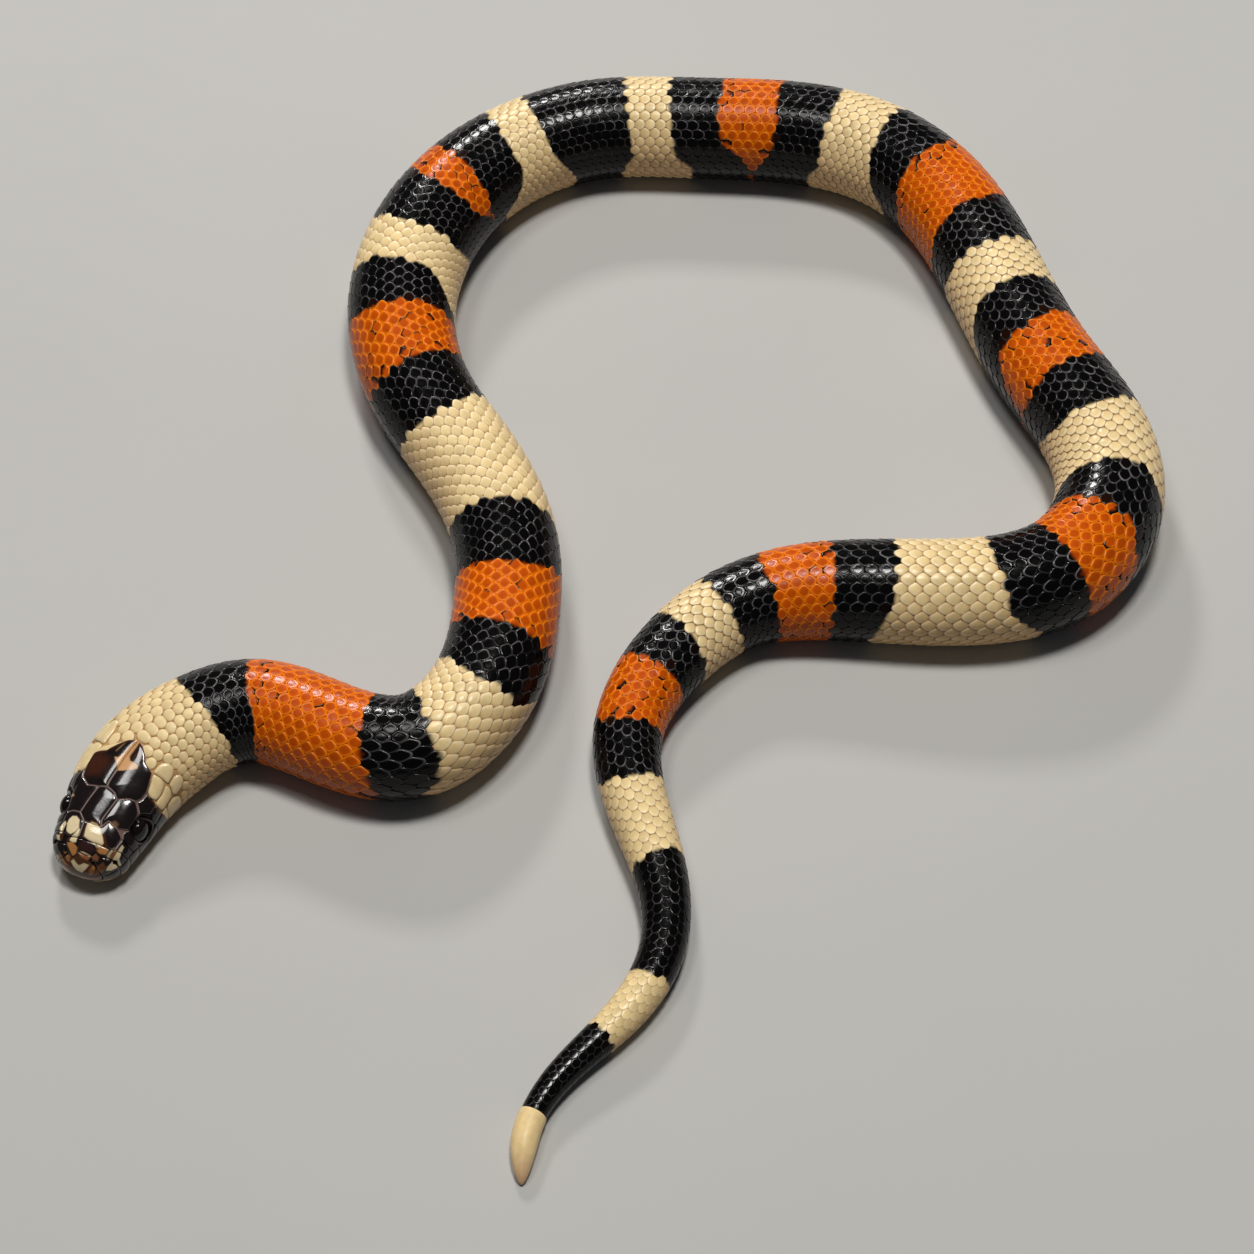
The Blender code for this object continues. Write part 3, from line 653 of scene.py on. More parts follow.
def scale_template(cell_length, squareness):
    """Places over one scale: forward share, side share and nearness to its edge.

    The cell length is the pitch of the scales for a row one wide, and a lower squareness rounds the
    corners of the scale.
    """
    turns = np.linspace(0, 2 * np.pi, SCALE_SEGMENTS, endpoint=False)
    # The room of one scale among its six neighbours, with its corners rounded
    ways = np.stack([np.cos(turns), np.sin(turns)], -1)
    crowding = 0.0
    for x, y in ((1, 0), (-1, 0), (0.5, 1), (0.5, -1), (-0.5, 1), (-0.5, -1)):
        towards = np.array([x * cell_length, y])
        half_way = towards @ towards / 2
        crowding = crowding + np.clip(ways @ towards / half_way, 0, None) ** squareness
    reach = 1.06 * crowding ** (-1 / squareness)
    ring_a = ways[:, 0] * reach / (cell_length / 2)
    ring_b = ways[:, 1] * reach / 0.5
    a = [0.0]
    b = [0.0]
    r = [0.0]
    for share in SCALE_RINGS:
        a += list(ring_a * share)
        b += list(ring_b * share)
        r += [share] * SCALE_SEGMENTS
    # A nearness of 2 marks the skirt, which closes the scale underneath
    a += list(ring_a * 0.97)
    b += list(ring_b * 0.97)
    r += [2.0] * SCALE_SEGMENTS
    faces = [(0, 1 + k, 1 + (k + 1) % SCALE_SEGMENTS) for k in range(SCALE_SEGMENTS)]
    for ring in range(len(SCALE_RINGS)):
        start = 1 + ring * SCALE_SEGMENTS
        for k in range(SCALE_SEGMENTS):
            here, there = start + k, start + (k + 1) % SCALE_SEGMENTS
            faces.append((here, here + SCALE_SEGMENTS, there + SCALE_SEGMENTS, there))
    last = 1 + len(SCALE_RINGS) * SCALE_SEGMENTS
    faces.append(tuple(last + k for k in reversed(range(SCALE_SEGMENTS))))
    return np.array(a), np.array(b), np.array(r), faces


def paint_scales(painted, body, rim, inside, forward, strength):
    """The colour of each point of each scale, from the kind of band that it is painted in."""
    in_cream, in_black, in_orange = (painted == k for k in (CREAM, BLACK, ORANGE))
    own = np.arange(len(painted))[:, None]
    body, rim = body[own, painted], rim[own, painted]
    # The rims of black and cream scales are painted highlights towards the rear edge of each scale; orange
    # scales have a paler ring all round
    starts = np.where(in_cream, 0.45, np.where(in_black, 0.76, 0.66))
    edge = np.clip((inside - starts) / np.where(in_cream, 0.35, 0.14), 0, 1)
    rear = np.clip(forward * 1.4 + 0.75, 0, 1) * np.clip((1.02 - inside) / 0.08, 0, 1)
    rear = np.where(in_cream, np.clip(forward * 1.3 + 0.35, 0, 1), np.where(in_black, rear, 1.0))
    edge = (edge * rear * np.interp(strength, [0.3, 1], [0.35, 1]))[..., None]
    # Painted shade and light: the front of each orange and cream scale is darker and its rear lighter
    shade = 1 + (0.12 * (in_orange | in_cream) * np.clip(forward, -1, 1))[..., None]
    colours = blend(body * shade, rim, edge)
    # The front of a cream scale is tan where the one ahead shades it, and its rear has a thin outline
    front = np.clip(-1.3 * forward, 0, 1)
    outer = np.clip((inside - 0.86 + 0.28 * front) / (0.08 + 0.24 * front), 0, 1) * (0.75 + 0.25 * front)
    outer = 0.8 * outer * in_cream * np.interp(strength, [0.3, 1], [0.25, 1])
    return blend(colours, TAN_COLOUR, outer[..., None])


def make_scales(name, places, bake_span, seed, round_to=COAT_HALF, squareness=8):
    """One joined piece of scales, each laid on the skin and lifted at its rear edge."""
    draws = np.random.default_rng(seed)
    s0, degrees0, half_length, half_width = places[:, :4].T
    row_width = np.radians(2 * half_width) * girth(s0)[0]
    a, b, r, template_faces = scale_template(float(np.median(2 * half_length / row_width)), squareness)
    count = len(places)
    body, rim, sooty, kinds = scale_colours(s0, degrees0, draws)
    is_cream = (kinds == CREAM)[:, None]
    long = (half_length * draws.uniform(0.97, 1.03, count))[:, None]
    wide = (half_width * draws.uniform(0.97, 1.02, count))[:, None]
    twist = draws.normal(0, 0.03, count)[:, None]
    # The tail is smoother than the body
    strength = np.interp(s0, [500, 535, 560], [1.0, 0.5, 0.3])[:, None]
    size = np.minimum(1.0, half_length / 1.15)[:, None]
    forward = a[None, :] + twist * b[None, :]
    s = s0[:, None] + (forward + 0.1 * np.clip(forward, 0, 1)) * long
    degrees = degrees0[:, None] + (b[None, :] - twist * a[None, :]) * wide
    inside = np.minimum(r, 1.0)[None, :]
    ridge = np.where(is_cream, CREAM_RIDGE, RIDGE) * np.exp(-((inside - 0.84) / 0.09) ** 2)
    ridge = ridge - 0.1 * np.clip((inside - 0.86) / 0.14, 0, 1) ** 1.5
    lift = np.where(is_cream, CREAM_LIFT, LIFT)
    tilt = (lift + draws.normal(0, 0.012, count)[:, None]) * np.clip(forward, -1, 1)
    tilt = tilt + draws.normal(0, 0.014, count)[:, None] * b[None, :]
    swell = np.where(is_cream, CREAM_SWELL, SWELL) * (1 - inside**2)
    rise = BASE_RISE + (tilt + ridge + swell) * strength + draws.normal(0, 0.008, count)[:, None]
    rise = rise * size
    skirt = (r > 1.5)[None, :]
    rise = np.where(skirt, np.minimum(rise - 0.1 * size, -0.03), rise)
    points = on_skin(s, np.radians(degrees), rise - SKIN_SINK * 0.5)
    # Each point takes the band half way between its own place and the middle of its scale
    painted, away, _, beside = marking((s + s0[:, None]) / 2, (degrees + degrees0[:, None]) / 2)
    share = (0.5 + 0.5 * np.clip(away / 0.16, 0, 1))[..., None]
    own, other = (paint_scales(kind, body, rim, inside, forward, strength) for kind in (painted, beside))
    colours = blend(other, own, share)
    # Black lies along one side of a sooty scale, and over the whole rear of some
    turns = np.arctan2(b, a)[None, :] - draws.normal(0, 0.9, count)[:, None]
    bold = (draws.uniform(size=count) < 0.1)[:, None]
    dark = np.clip((np.cos(turns) - np.where(bold, 0.1, 0.45)) / 0.25, 0, 1)
    dark = dark * np.clip((inside - np.where(bold, 0.4, 0.66)) / 0.12, 0, 1)
    dark = dark * (sooty[:, None] & (painted == ORANGE))
    colours = blend(colours, BLACK_COLOUR * 1.5, dark[..., None])
    # The skirt under each scale is painted darker, as painted shade
    colours = np.where(skirt[..., None], colours * 0.6, colours)
    per = len(a)
    faces = []
    for k in range(count):
        start = k * per
        faces += [tuple(start + v for v in face) for face in template_faces]
    first, last = bake_span
    corners = np.concatenate(template_faces)
    under = np.arange(len(corners)) >= len(corners) - SCALE_SEGMENTS
    spread = np.where(r > 1.5, 1.15, 1.0)[corners]
    across = np.where(under, 2.6 + 0.3 * a[corners], spread * a[corners])
    along = np.where(under, 0.3, spread) * b[corners]
    u = (0.01 + 0.975 * (s0 - first) / (last - first))[:, None] + 0.0016 * across
    v = (0.5 + 0.47 * degrees0 / round_to)[:, None] + 0.001 * along
    bake = np.stack([u, v], -1).reshape(-1, 2)
    scales = make_object(name, points.reshape(-1, 3), faces, colours.reshape(-1, 3), bake, scale_finish)


lattice = scale_places()
nape = lattice[:, 0] < NAPE_END
make_scales("scales_nape", lattice[nape], (COAT_START, NAPE_END + 1.5), 99, squareness=6)
for number, chosen in enumerate(np.array_split(lattice[~nape], 10)):
    make_scales(f"scales_{number + 1}", chosen, (chosen[0, 0] - 1, chosen[-1, 0] + 1), 100 + number)


def gular_places():
    """Small scales under the jaw, between the lips, the chin plates and the first belly scute."""
    found = []
    pitch = 1.9
    for number, turn in enumerate((134, 143, 152)):
        for s in np.arange(5.2 + pitch / 2 * (number % 2), 19.6, pitch):
            found += [(s, turn, pitch / 2, 4.6, number), (s, -turn, pitch / 2, 4.6, number)]
    for number, turn in enumerate((161, 170, 180)):
        for s in np.arange(17.0 + pitch / 2 * (number % 2), 19.6, pitch):
            found.append((s, turn, pitch / 2, 4.6, number))
            if turn < 180:
                found.append((s, -turn, pitch / 2, 4.6, number))
    return np.array(found)


make_scales("scales_throat", gular_places(), (4.0, 20.6), 90, round_to=186.0)


# The belly scutes, one across the belly for each row of scales, and in pairs under the tail

BELLY_START = 20.5
TAIL_START = 508.0
SCUTE_COLUMNS = 16
# The section of a scute: distance along it as a share of the pitch, and rise
SCUTE_SECTION = np.array([(-0.1, -0.2), (0.02, 0.02), (0.35, 0.2), (0.75, 0.3), (1.04, 0.31),
                          (1.12, 0.24), (1.1, 0.05), (0.5, -0.25)])


def belly_colours(s, turn):
    """The bands carried on across the belly, paler than above, with the turn from 0 to 360 degrees."""
    kinds = marking(s, np.where(turn > 180, turn - 360, turn))[0]
    colours = np.empty(s.shape + (3,))
    colours[kinds == CREAM] = CREAM_COLOUR * 0.9 + TAN_COLOUR * 0.1
    colours[kinds == BLACK] = BLACK_COLOUR * 1.3
    colours[kinds == ORANGE] = ORANGE_COLOUR * 0.9
    return colours


def make_belly():
    edge = COAT_HALF - 4
    along, rises = SCUTE_SECTION.T
    rows = len(along)
    across = np.abs(np.linspace(-1, 1, SCUTE_COLUMNS))
    points, faces, colours, bake = [], [], [], []
    s = BELLY_START
    total = 0
    while s < LENGTH - 12:
        pitch = float(pitch_at(s))
        halves = [(edge, 360 - edge)] if s < TAIL_START else [(edge, 179.0), (181.0, 360 - edge)]
        for side, (start, end) in enumerate(halves):
            shift = pitch / 2 * side
            turns = np.linspace(start, end, SCUTE_COLUMNS)
            curve = 0.25 * pitch * across[None, :] ** 4 * (along[:, None] > 0.3)
            place = s + shift + pitch * along[:, None] - curve
            turn = np.broadcast_to(turns[None, :], place.shape)
            rise = rises[:, None] * np.where(across > 0.98, 0.2, 1.0)[None, :] * min(1.0, pitch / 2.2)
            points.append(on_skin(place, np.radians(turn), rise).reshape(-1, 3))
            u = 0.01 + 0.98 * (s + shift) / LENGTH
            v = 0.5 + 0.46 * (turns - 180) / (180 - edge)
            for row in range(rows):
                a = total + row * SCUTE_COLUMNS
                b = total + (row + 1) % rows * SCUTE_COLUMNS
                here, there = u + 0.0004 * row, u + 0.0004 * (row + 1)
                for k in range(SCUTE_COLUMNS - 1):
                    faces.append((a + k, b + k, b + k + 1, a + k + 1))
                    bake += [(here, v[k]), (there, v[k]), (there, v[k + 1]), (here, v[k + 1])]
            faces.append(tuple(total + row * SCUTE_COLUMNS for row in reversed(range(rows))))
            faces.append(tuple(total + row * SCUTE_COLUMNS + SCUTE_COLUMNS - 1 for row in range(rows)))
            loop = 2 * np.pi * np.arange(rows) / rows
            disc = 0.001 * np.stack([np.cos(loop), np.sin(loop)], -1) + [u + 0.0015, 0]
            bake += list(disc[::-1] + [0, v[0] - 0.003]) + list(disc + [0, v[-1] + 0.003])
            # The rear lip and underside of each scute are painted darker, as painted shade
            own = belly_colours(place, turn) * np.where(along > 1.05, 0.7, 1.0)[:, None, None]
            colours.append(own.reshape(-1, 3))
            total += rows * SCUTE_COLUMNS
        s += pitch
    belly = make_object("belly_scutes", np.concatenate(points), faces, np.concatenate(colours), bake,
                        belly_finish)


make_belly()


# The shields of the head, the lips and the chin

DARK_HEAD = np.array([0.0085, 0.0048, 0.0045])
RED_BROWN = np.array([0.060, 0.016, 0.007])
FORK_TAN = np.array([0.62, 0.34, 0.15])
SNOUT_BROWN = np.array([0.15, 0.055, 0.020])
SNOUT_ORANGE = np.array([0.42, 0.18, 0.055])
PURPLE_BROWN = np.array([0.030, 0.010, 0.010])
PALE_MARK = np.array([0.76, 0.62, 0.38])
# Seams on top of the head: partly pale skin, partly painted highlight
SUTURE_AND_GLINT = np.array([0.50, 0.38, 0.35])

LIP_ENDS = [1.1, 3.3, 5.5, 7.9, 10.3, 13.0, 16.6, 22.0]
LIP_TOPS = [84.0, 81.0, 78.0, 82.0, 93.0, 84.0, 77.5, 79.0]
LIP_HEM = 1.6
LOWER_LIP_DEPTH = 21.0
SHIELD_RISE = 1.1

# Outlines of the shields, as distance from the snout and angle from the back. Those on top of the
# head differ a little from side to side, and the others are made once for each side.
TOP_SHIELDS = {
    "frontal": [(7.05, 10), (8.4, 20), (11, 15), (13.4, 10), (13.85, 2), (13.2, -6), (12.3, -11), (10, -8),
                (8.2, -6), (7.1, -9), (7.05, 0)],
    "near_internasal": [(2.45, 7), (4.2, 9.5), (4.3, -12), (3.6, -20), (2.5, -14), (2.2, -4)],
    "far_internasal": [(1.8, 8), (2.45, 7), (4.2, 9.5), (4.0, 26), (2.9, 30), (1.7, 24), (1.5, 14)],
    "near_prefrontal": [(4.2, 9.5), (7.05, 10), (7.05, 0), (7.1, -9), (8.5, -14), (8.2, -22), (7.9, -30),
                        (6.9, -43), (4.6, -43), (4.4, -30), (4.3, -12)],
    "far_prefrontal": [(4.2, 9.5), (7.05, 10), (8.4, 20), (8.4, 33), (8.0, 45), (7.1, 49), (4.6, 43),
                       (4.0, 26)],
    "near_supraocular": [(7.1, -9), (8.2, -6), (10, -8), (12.3, -11), (13.3, -24), (13.4, -32), (11.9, -44),
                         (10.2, -46), (8.6, -44), (7.9, -30), (8.2, -22), (8.5, -14)],
    "far_supraocular": [(8.4, 20), (11, 15), (13.4, 10), (13.2, 24), (14.5, 37), (14.2, 42), (11.9, 46.5),
                        (10.2, 47.5), (8.6, 46.5), (8.0, 45), (8.4, 33)],
    "near_parietal": [(13.85, 2), (14.5, 2.5), (17.2, 1), (20, 0.6), (23.1, 0.4), (22.7, -6), (21.8, -12),
                      (20.6, -18), (20.2, -24), (19.8, -30), (18.5, -33), (15.9, -38), (14.3, -37),
                      (13.4, -32), (13.3, -24), (12.3, -11), (13.2, -6)],
    "far_parietal": [(13.85, 2), (14.5, 2.5), (17.2, 1), (20, 0.6), (23.1, 0.4), (22.4, 7), (21.3, 13),
                     (20.4, 20), (19.8, 29), (18.4, 37), (16.2, 39), (14.5, 37), (13.2, 24), (13.4, 10)],
    "near_rear_nasal": [(2.5, -14), (3.6, -20), (4.3, -12), (4.4, -30), (4.6, -43), (3.2, -38), (2.0, -32),
                        (1.6, -18)],
}
SIDE_SHIELDS = {
    "front_nasal": [(1.8, 27), (2.9, 31), (3.1, 40.5), (3.25, 54), (2.95, 62), (3.2, 70), (3.2, 81),
                    (1.1, 84), (1.05, 70), (1.2, 45)],
    "rear_nasal": [(3.15, 39), (4.3, 36), (4.6, 43), (5.0, 60), (4.9, 78), (3.2, 81), (3.4, 70), (3.65, 62),
                   (3.35, 54)],
    "loreal": [(4.6, 43), (6.7, 45), (6.6, 60), (6.5, 79), (4.9, 78), (5.0, 60)],
    "preocular": [(6.9, 45), (7.9, 40), (8.6, 46), (8.15, 58), (8.2, 78), (7.9, 82), (6.5, 79), (6.6, 60)],
    "upper_postocular": [(11.9, 46), (13.4, 34), (14.4, 38.5), (15.6, 39.5), (15.3, 48), (15.4, 57),
                         (14.9, 61), (13.1, 63), (12.6, 55)],
    "lower_postocular": [(13.1, 63), (14.9, 61), (14.9, 70), (15.0, 79), (12.7, 84), (12.6, 74)],
    "temple_upper_front": [(15.9, 39.5), (18.0, 36), (19.8, 31.5), (20.2, 43), (19.8, 52), (17.6, 57),
                           (15.7, 57), (15.4, 48)],
    "temple_upper_rear": [(19.9, 30.5), (22.6, 31), (24.0, 38), (24.0, 48), (22.8, 53), (20.4, 56),
                          (20.3, 43)],
    "temple_lower_front": [(15.1, 59), (17.6, 58.5), (19.9, 53.5), (20.3, 62), (19.5, 72), (17.4, 76),
                           (15.4, 78), (15.1, 68)],
    "temple_lower_rear": [(20.4, 57.5), (22.8, 54.5), (24.5, 58), (24.6, 68), (23.2, 75), (20.7, 77.5),
                          (19.8, 72), (20.5, 62)],
}
CHIN_SHIELDS = {
    "front_chin": [(3.4, 180), (9.8, 180), (9.9, 158), (4.6, 158)],
    "rear_chin": [(9.8, 180), (9.9, 158), (15.6, 157), (16.4, 170), (15.4, 180)],
}

# The camera, which the marks on the snout are also placed by
CAMERA_TILT = math.radians(55)
FRAME_PIXELS = 1254.0
FOCAL_PIXELS = 3300.0
PIXELS_PER_MM = 5.55
CAMERA_AWAY = FOCAL_PIXELS / PIXELS_PER_MM
CAMERA_TARGET = np.array([0.06, -7.28, 0.0])
CAMERA_WAY = np.array([0, -math.cos(CAMERA_TILT), math.sin(CAMERA_TILT)])
SENSOR_WIDTH = 36.0

# Patches of the snout: colour, softness of the edge, and the outline as read in pixels of the
# camera's frame
SNOUT_PATCHES = {
    "dark_base": (SNOUT_BROWN * 0.35, 0.25, [(60, 834), (66, 832), (70, 838), (68, 841), (61, 841)]),
    "far_oval": (PALE_MARK, 0.12, [(67, 829), (68, 823), (70, 819), (73, 816), (77, 816), (80, 820),
                                   (79, 827), (75, 832), (71, 834), (67, 831)]),
    "far_side": (PALE_MARK * 0.95, 0.12, [(60, 833), (60, 828), (63, 823), (66, 821), (67, 824), (64, 829),
                                          (62, 833)]),
    "slant": (PALE_MARK, 0.12, [(70, 840), (72, 836), (76, 832), (79, 828), (80, 830), (78, 836), (76, 842),
                                (73, 842)]),
    "warm_rim": (RED_BROWN, 0.3, [(81, 838), (83, 832), (87, 823), (92, 820), (99, 822), (103, 830),
                                  (106, 838), (108, 846), (104, 849), (93, 842), (86, 838)]),
    "near_pale": (PALE_MARK, 0.15, [(84, 836), (86, 829), (88, 824), (92, 822), (97, 824), (100, 828),
                                    (102, 835), (104, 843), (102, 846), (98, 849), (95, 845), (91, 842),
                                    (88, 839)]),
    "far_orange": (SNOUT_ORANGE, 0.15, [(67, 843), (71, 842), (75, 844), (78, 848), (77, 853), (73, 856),
                                        (71, 852), (69, 848)]),
    "middle_dark": (PURPLE_BROWN, 0.12, [(78, 847), (79, 843), (83, 841), (88, 841), (92, 845), (95, 849),
                                         (92, 853), (86, 851), (80, 850)]),
    "near_orange": (SNOUT_ORANGE * 0.9, 0.15, [(96, 851), (98, 848), (101, 846), (105, 847), (109, 850),
                                               (106, 855), (101, 854)]),
    "brown_under_middle": (SNOUT_BROWN * 1.5, 0.15, [(79, 854), (83, 852), (88, 855), (91, 858), (87, 860),
                                                     (81, 857)]),
    "brown_under_near": (SNOUT_BROWN * 1.2, 0.15, [(92, 857), (96, 853), (99, 857), (98, 861), (93, 860)]),
    "rostral_chip": (PALE_MARK * 0.62, 0.12, [(71, 861), (74, 859), (76, 862), (79, 865), (84, 863),
                                              (89, 865), (86, 869), (82, 872), (78, 870), (74, 866)]),
    "far_nostril_orange": (SNOUT_ORANGE * 0.6, 0.15, [(64, 851), (68, 852), (70, 857), (70, 862), (67, 860)]),
    "far_edge_orange": (SNOUT_ORANGE * 0.55, 0.15, [(60, 851), (62, 856), (66, 862), (69, 865), (65, 864),
                                                    (60, 857)]),
    "far_edge_pale": (PALE_MARK * 0.6, 0.12, [(57, 854), (59, 855), (61, 861), (58, 860)]),
    "low_orange": (SNOUT_ORANGE * 0.8, 0.15, [(62, 866), (64, 864), (70, 869), (66, 871)]),
    "far_nasal_pale": (PALE_MARK * 0.9, 0.1, [(57, 835), (60, 835), (60, 840), (58, 840)]),
    "low_brown": (SNOUT_BROWN * 1.2, 0.2, [(89, 870), (92, 866), (96, 865), (94, 872), (90, 876)]),
    "near_low_brown": (SNOUT_BROWN * 0.7, 0.25, [(97, 866), (103, 862), (107, 867), (101, 873), (96, 874)]),
    "lip_hem": (SNOUT_BROWN * 1.1, 0.3, [(70, 872), (80, 875), (90, 877), (100, 876), (110, 872), (108, 875),
                                         (98, 879), (86, 879), (74, 876)]),
    "near_side_pale": (PALE_MARK * 0.75, 0.12, [(119, 849), (122, 845), (124, 847), (121, 854), (119, 859),
                                                (121, 865), (116, 868), (111, 870), (106, 870), (108, 866),
                                                (112, 862), (114, 857), (117, 852)]),
    "near_nasal_pale": (PALE_MARK * 0.45, 0.12, [(106, 856), (108, 853), (112, 849), (115, 847), (112, 853),
                                                 (109, 860), (107, 860)]),
    "near_nasal_brown": (SNOUT_BROWN, 0.2, [(110, 855), (113, 851), (117, 848), (117, 852), (113, 858),
                                            (110, 860)]),
}


def snout_in_frame():
    """Places over the snout that the camera sees: distance, angle and where they fall in its frame."""
    along = np.concatenate([np.linspace(0.02, 1, 90) ** 2, np.linspace(1.02, 16, 600)])
    s, degrees = np.meshgrid(along, np.arange(-130, 130, 0.5), indexing="ij")
    points = on_skin(s, np.radians(degrees), 0.2)
    towards = CAMERA_TARGET + CAMERA_AWAY * CAMERA_WAY - points
    seen = (towards * skin_normal(s, np.radians(degrees))).sum(-1) > 0
    x, y, z = (points[seen] - CAMERA_TARGET).T
    sine, cosine = math.sin(CAMERA_TILT), math.cos(CAMERA_TILT)
    depth = CAMERA_AWAY + y * cosine - z * sine
    across = FRAME_PIXELS / 2 + FOCAL_PIXELS * x / depth
    down = FRAME_PIXELS / 2 - FOCAL_PIXELS * (y * sine + z * cosine) / depth
    return s[seen], degrees[seen], across, down


def placed_patches():
    """The patches of the snout, with their corners as distance from the snout and angle."""
    s, degrees, across, down = snout_in_frame()
    placed = []
    for colour, soft, outline in SNOUT_PATCHES.values():
        nearest = [((across - x) ** 2 + (down - y) ** 2).argmin() for x, y in outline]
        placed.append((colour, soft, [(s[k], degrees[k]) for k in nearest]))
    return placed


# Marks on the snout and the head: colour, softness of the edge and outline. A positive angle is the
# right side. The marks on the snout are laid out on a plane round its tip.
SNOUT_MARKS = [
    (SNOUT_BROWN * 0.4, 0.3, [(0.9, -180), (0.9, -120), (0.9, -60), (1.6, -30), (2.2, 0), (1.8, 25),
                              (0.9, 60), (0.9, 120)]),
] + placed_patches() + [
    (PALE_MARK * 0.9, 0.1, [(2.5, 2.5), (2.62, -2), (2.5, -12), (2.38, -16), (2.3, -11), (2.42, -2),
                            (2.36, 2)]),
    (SNOUT_ORANGE * 0.7, 0.1, [(0.95, -35), (1.6, -27), (1.9, -27.5), (1.15, -39)]),
    (SNOUT_BROWN * 1.6, 0.2, [(0.75, 135), (0.5, 160), (0.45, -165), (0.7, -140), (1.0, -160), (1.0, 160)]),
]
HEAD_MARKS = [
    (SNOUT_BROWN * 1.3, 0.3, [(3.2, 84), (4.0, 80), (4.4, 92), (3.6, 98)]),
    (FORK_TAN * 0.8, 0.12, [(10.8, 45), (10.95, 39), (11.3, 40), (11.35, 50), (11.1, 52), (10.85, 50)]),
    (FORK_TAN * 0.3, 0.5, [(7.9, -18), (8.3, -17), (8.9, -22), (8.6, -27), (8.0, -28)]),
    (RED_BROWN * 0.8, 1.2, [(14.6, 31), (15.2, 13), (17.4, 9), (18.4, 14), (18.4, 30), (17.4, 35),
                            (15.6, 35)]),
    (RED_BROWN * 0.6, 0.8, [(20.1, -3), (21.8, -3), (22.2, -7), (20.6, -14), (19.8, -9)]),
    (FORK_TAN * 0.4, 0.1, [(19.7, 10.8), (22.2, 7.4), (22.2, 6.6), (19.7, 9.8)]),
    (FORK_TAN, 0.15, [(17.0, 0.5), (17.9, 3), (18.4, 6), (18.75, 8), (18.95, 5), (19.6, 3.5), (20.5, 3),
                      (22, 2.5), (23.4, 1.8), (23.4, -0.8), (21.5, -1.4), (19.9, -2), (19.4, -4),
                      (19.45, -9), (19.2, -13), (18.7, -14), (18.1, -11), (17.7, -6), (17.3, -3)]),
]


def edge_depth(spots, outline):
    """How deep each spot lies inside a closed outline, negative outside it."""
    starts = np.asarray(outline, float)
    steps = np.roll(starts, -1, axis=0) - starts
    gaps = spots[:, None, :] - starts[None, :, :]
    share = np.clip((gaps * steps).sum(-1) / np.maximum((steps**2).sum(-1), 1e-12), 0, 1)
    nearest = np.linalg.norm(gaps - share[..., None] * steps, axis=-1).min(axis=1)
    high, low = starts[:, 1], np.roll(starts[:, 1], -1)
    crosses = (high[None, :] > spots[:, 1:2]) != (low[None, :] > spots[:, 1:2])
    slope = np.where(np.abs(steps[:, 1]) < 1e-9, 1e-9, steps[:, 1])
    at = starts[:, 0] + (spots[:, 1:2] - starts[None, :, 1]) * (steps[:, 0] / slope)
    inside = (crosses & (spots[:, :1] < at)).sum(axis=1) % 2 == 1
    return np.where(inside, nearest, -nearest)


MM_PER_DEGREE = 0.14


def add_mark(colours, spots, corners, colour, soft, wave):
    """Paints one mark over the spots that lie inside its corners."""
    low, high = corners.min(axis=0) - 1, corners.max(axis=0) + 1
    close = ((spots > low) & (spots < high)).all(axis=1)
    if close.any():
        depth = edge_depth(spots[close], corners) + 0.06 * wave[close]
        share = np.clip(depth / max(soft, 0.2) + 0.5, 0, 1)[:, None]
        colours[close] = blend(colours[close], colour, share)


def head_colours(t, degrees, plate):
    """The painted skin of the head, with the cream neck behind the dark cap."""
    wave = noise_1d(t * 2.1 + degrees * 0.13, 5) * 0.5 + noise_1d(t * 0.8 - degrees * 0.21, 6) * 0.5
    colours = DARK_HEAD * (1 + 0.25 * wave[:, None])
    spots = polar_place(t, degrees)
    for colour, soft, outline in SNOUT_MARKS:
        corners = np.array(outline, float)
        add_mark(colours, spots, polar_place(corners[:, 0], corners[:, 1]), colour, soft, wave)
    spots = np.stack([t, degrees * MM_PER_DEGREE], -1)
    for colour, soft, outline in HEAD_MARKS:
        add_mark(colours, spots, np.array(outline, float) * [1, MM_PER_DEGREE], colour, soft, wave)
    behind = t - cap_rear(degrees) + wave * 0.12
    if plate.startswith("temple"):
        behind = np.full(len(t), 1.0)
    brown = np.clip((behind + 0.75) / 0.5, 0, 1)[:, None] * (colours.mean(-1, keepdims=True) < 0.15)
    colours = blend(colours, RED_BROWN * 0.8, brown)
    pale = np.clip((behind + 0.05) / 0.16, 0, 1)[:, None]
    return blend(colours, side_cream_and_shade(degrees, 0.5) * (0.97 + 0.04 * wave[:, None]), pale)


def snout_reach():
    """Distance over the skin from the tip of the snout, against distance along the spine."""
    t = np.concatenate([np.linspace(0, 1, 400) ** 2, np.linspace(1.01, 30, 1500)])
    half = girth(t)[0]
    steps = np.hypot(np.diff(t), np.diff(half))
    return t, np.concatenate([[0], np.cumsum(steps)])


REACH_T, REACH = snout_reach()


def polar_place(t, degrees):
    """Flat places round the tip of the snout, where the shields turn round it."""
    reach = np.interp(t, REACH_T, REACH)
    turn = np.radians(degrees)
    return np.stack([reach * np.cos(turn), reach * np.sin(turn)], -1)


def polar_read(spots):
    reach = np.linalg.norm(spots, axis=-1)
    return np.interp(reach, REACH, REACH_T), np.degrees(np.arctan2(spots[..., 1], spots[..., 0]))


def fine_outline(corners):
    """The outline with more corners, so that it runs the same in both ways of laying a plate out."""
    points = []
    for start, end in zip(corners, np.roll(corners, -1, axis=0)):
        turn = (end[1] - start[1] + 180) % 360 - 180
        count = max(1, int(np.ceil(abs(turn) / 6)))
        points += [start + np.array([end[0] - start[0], turn]) * k / count for k in range(count)]
    return np.array(points)


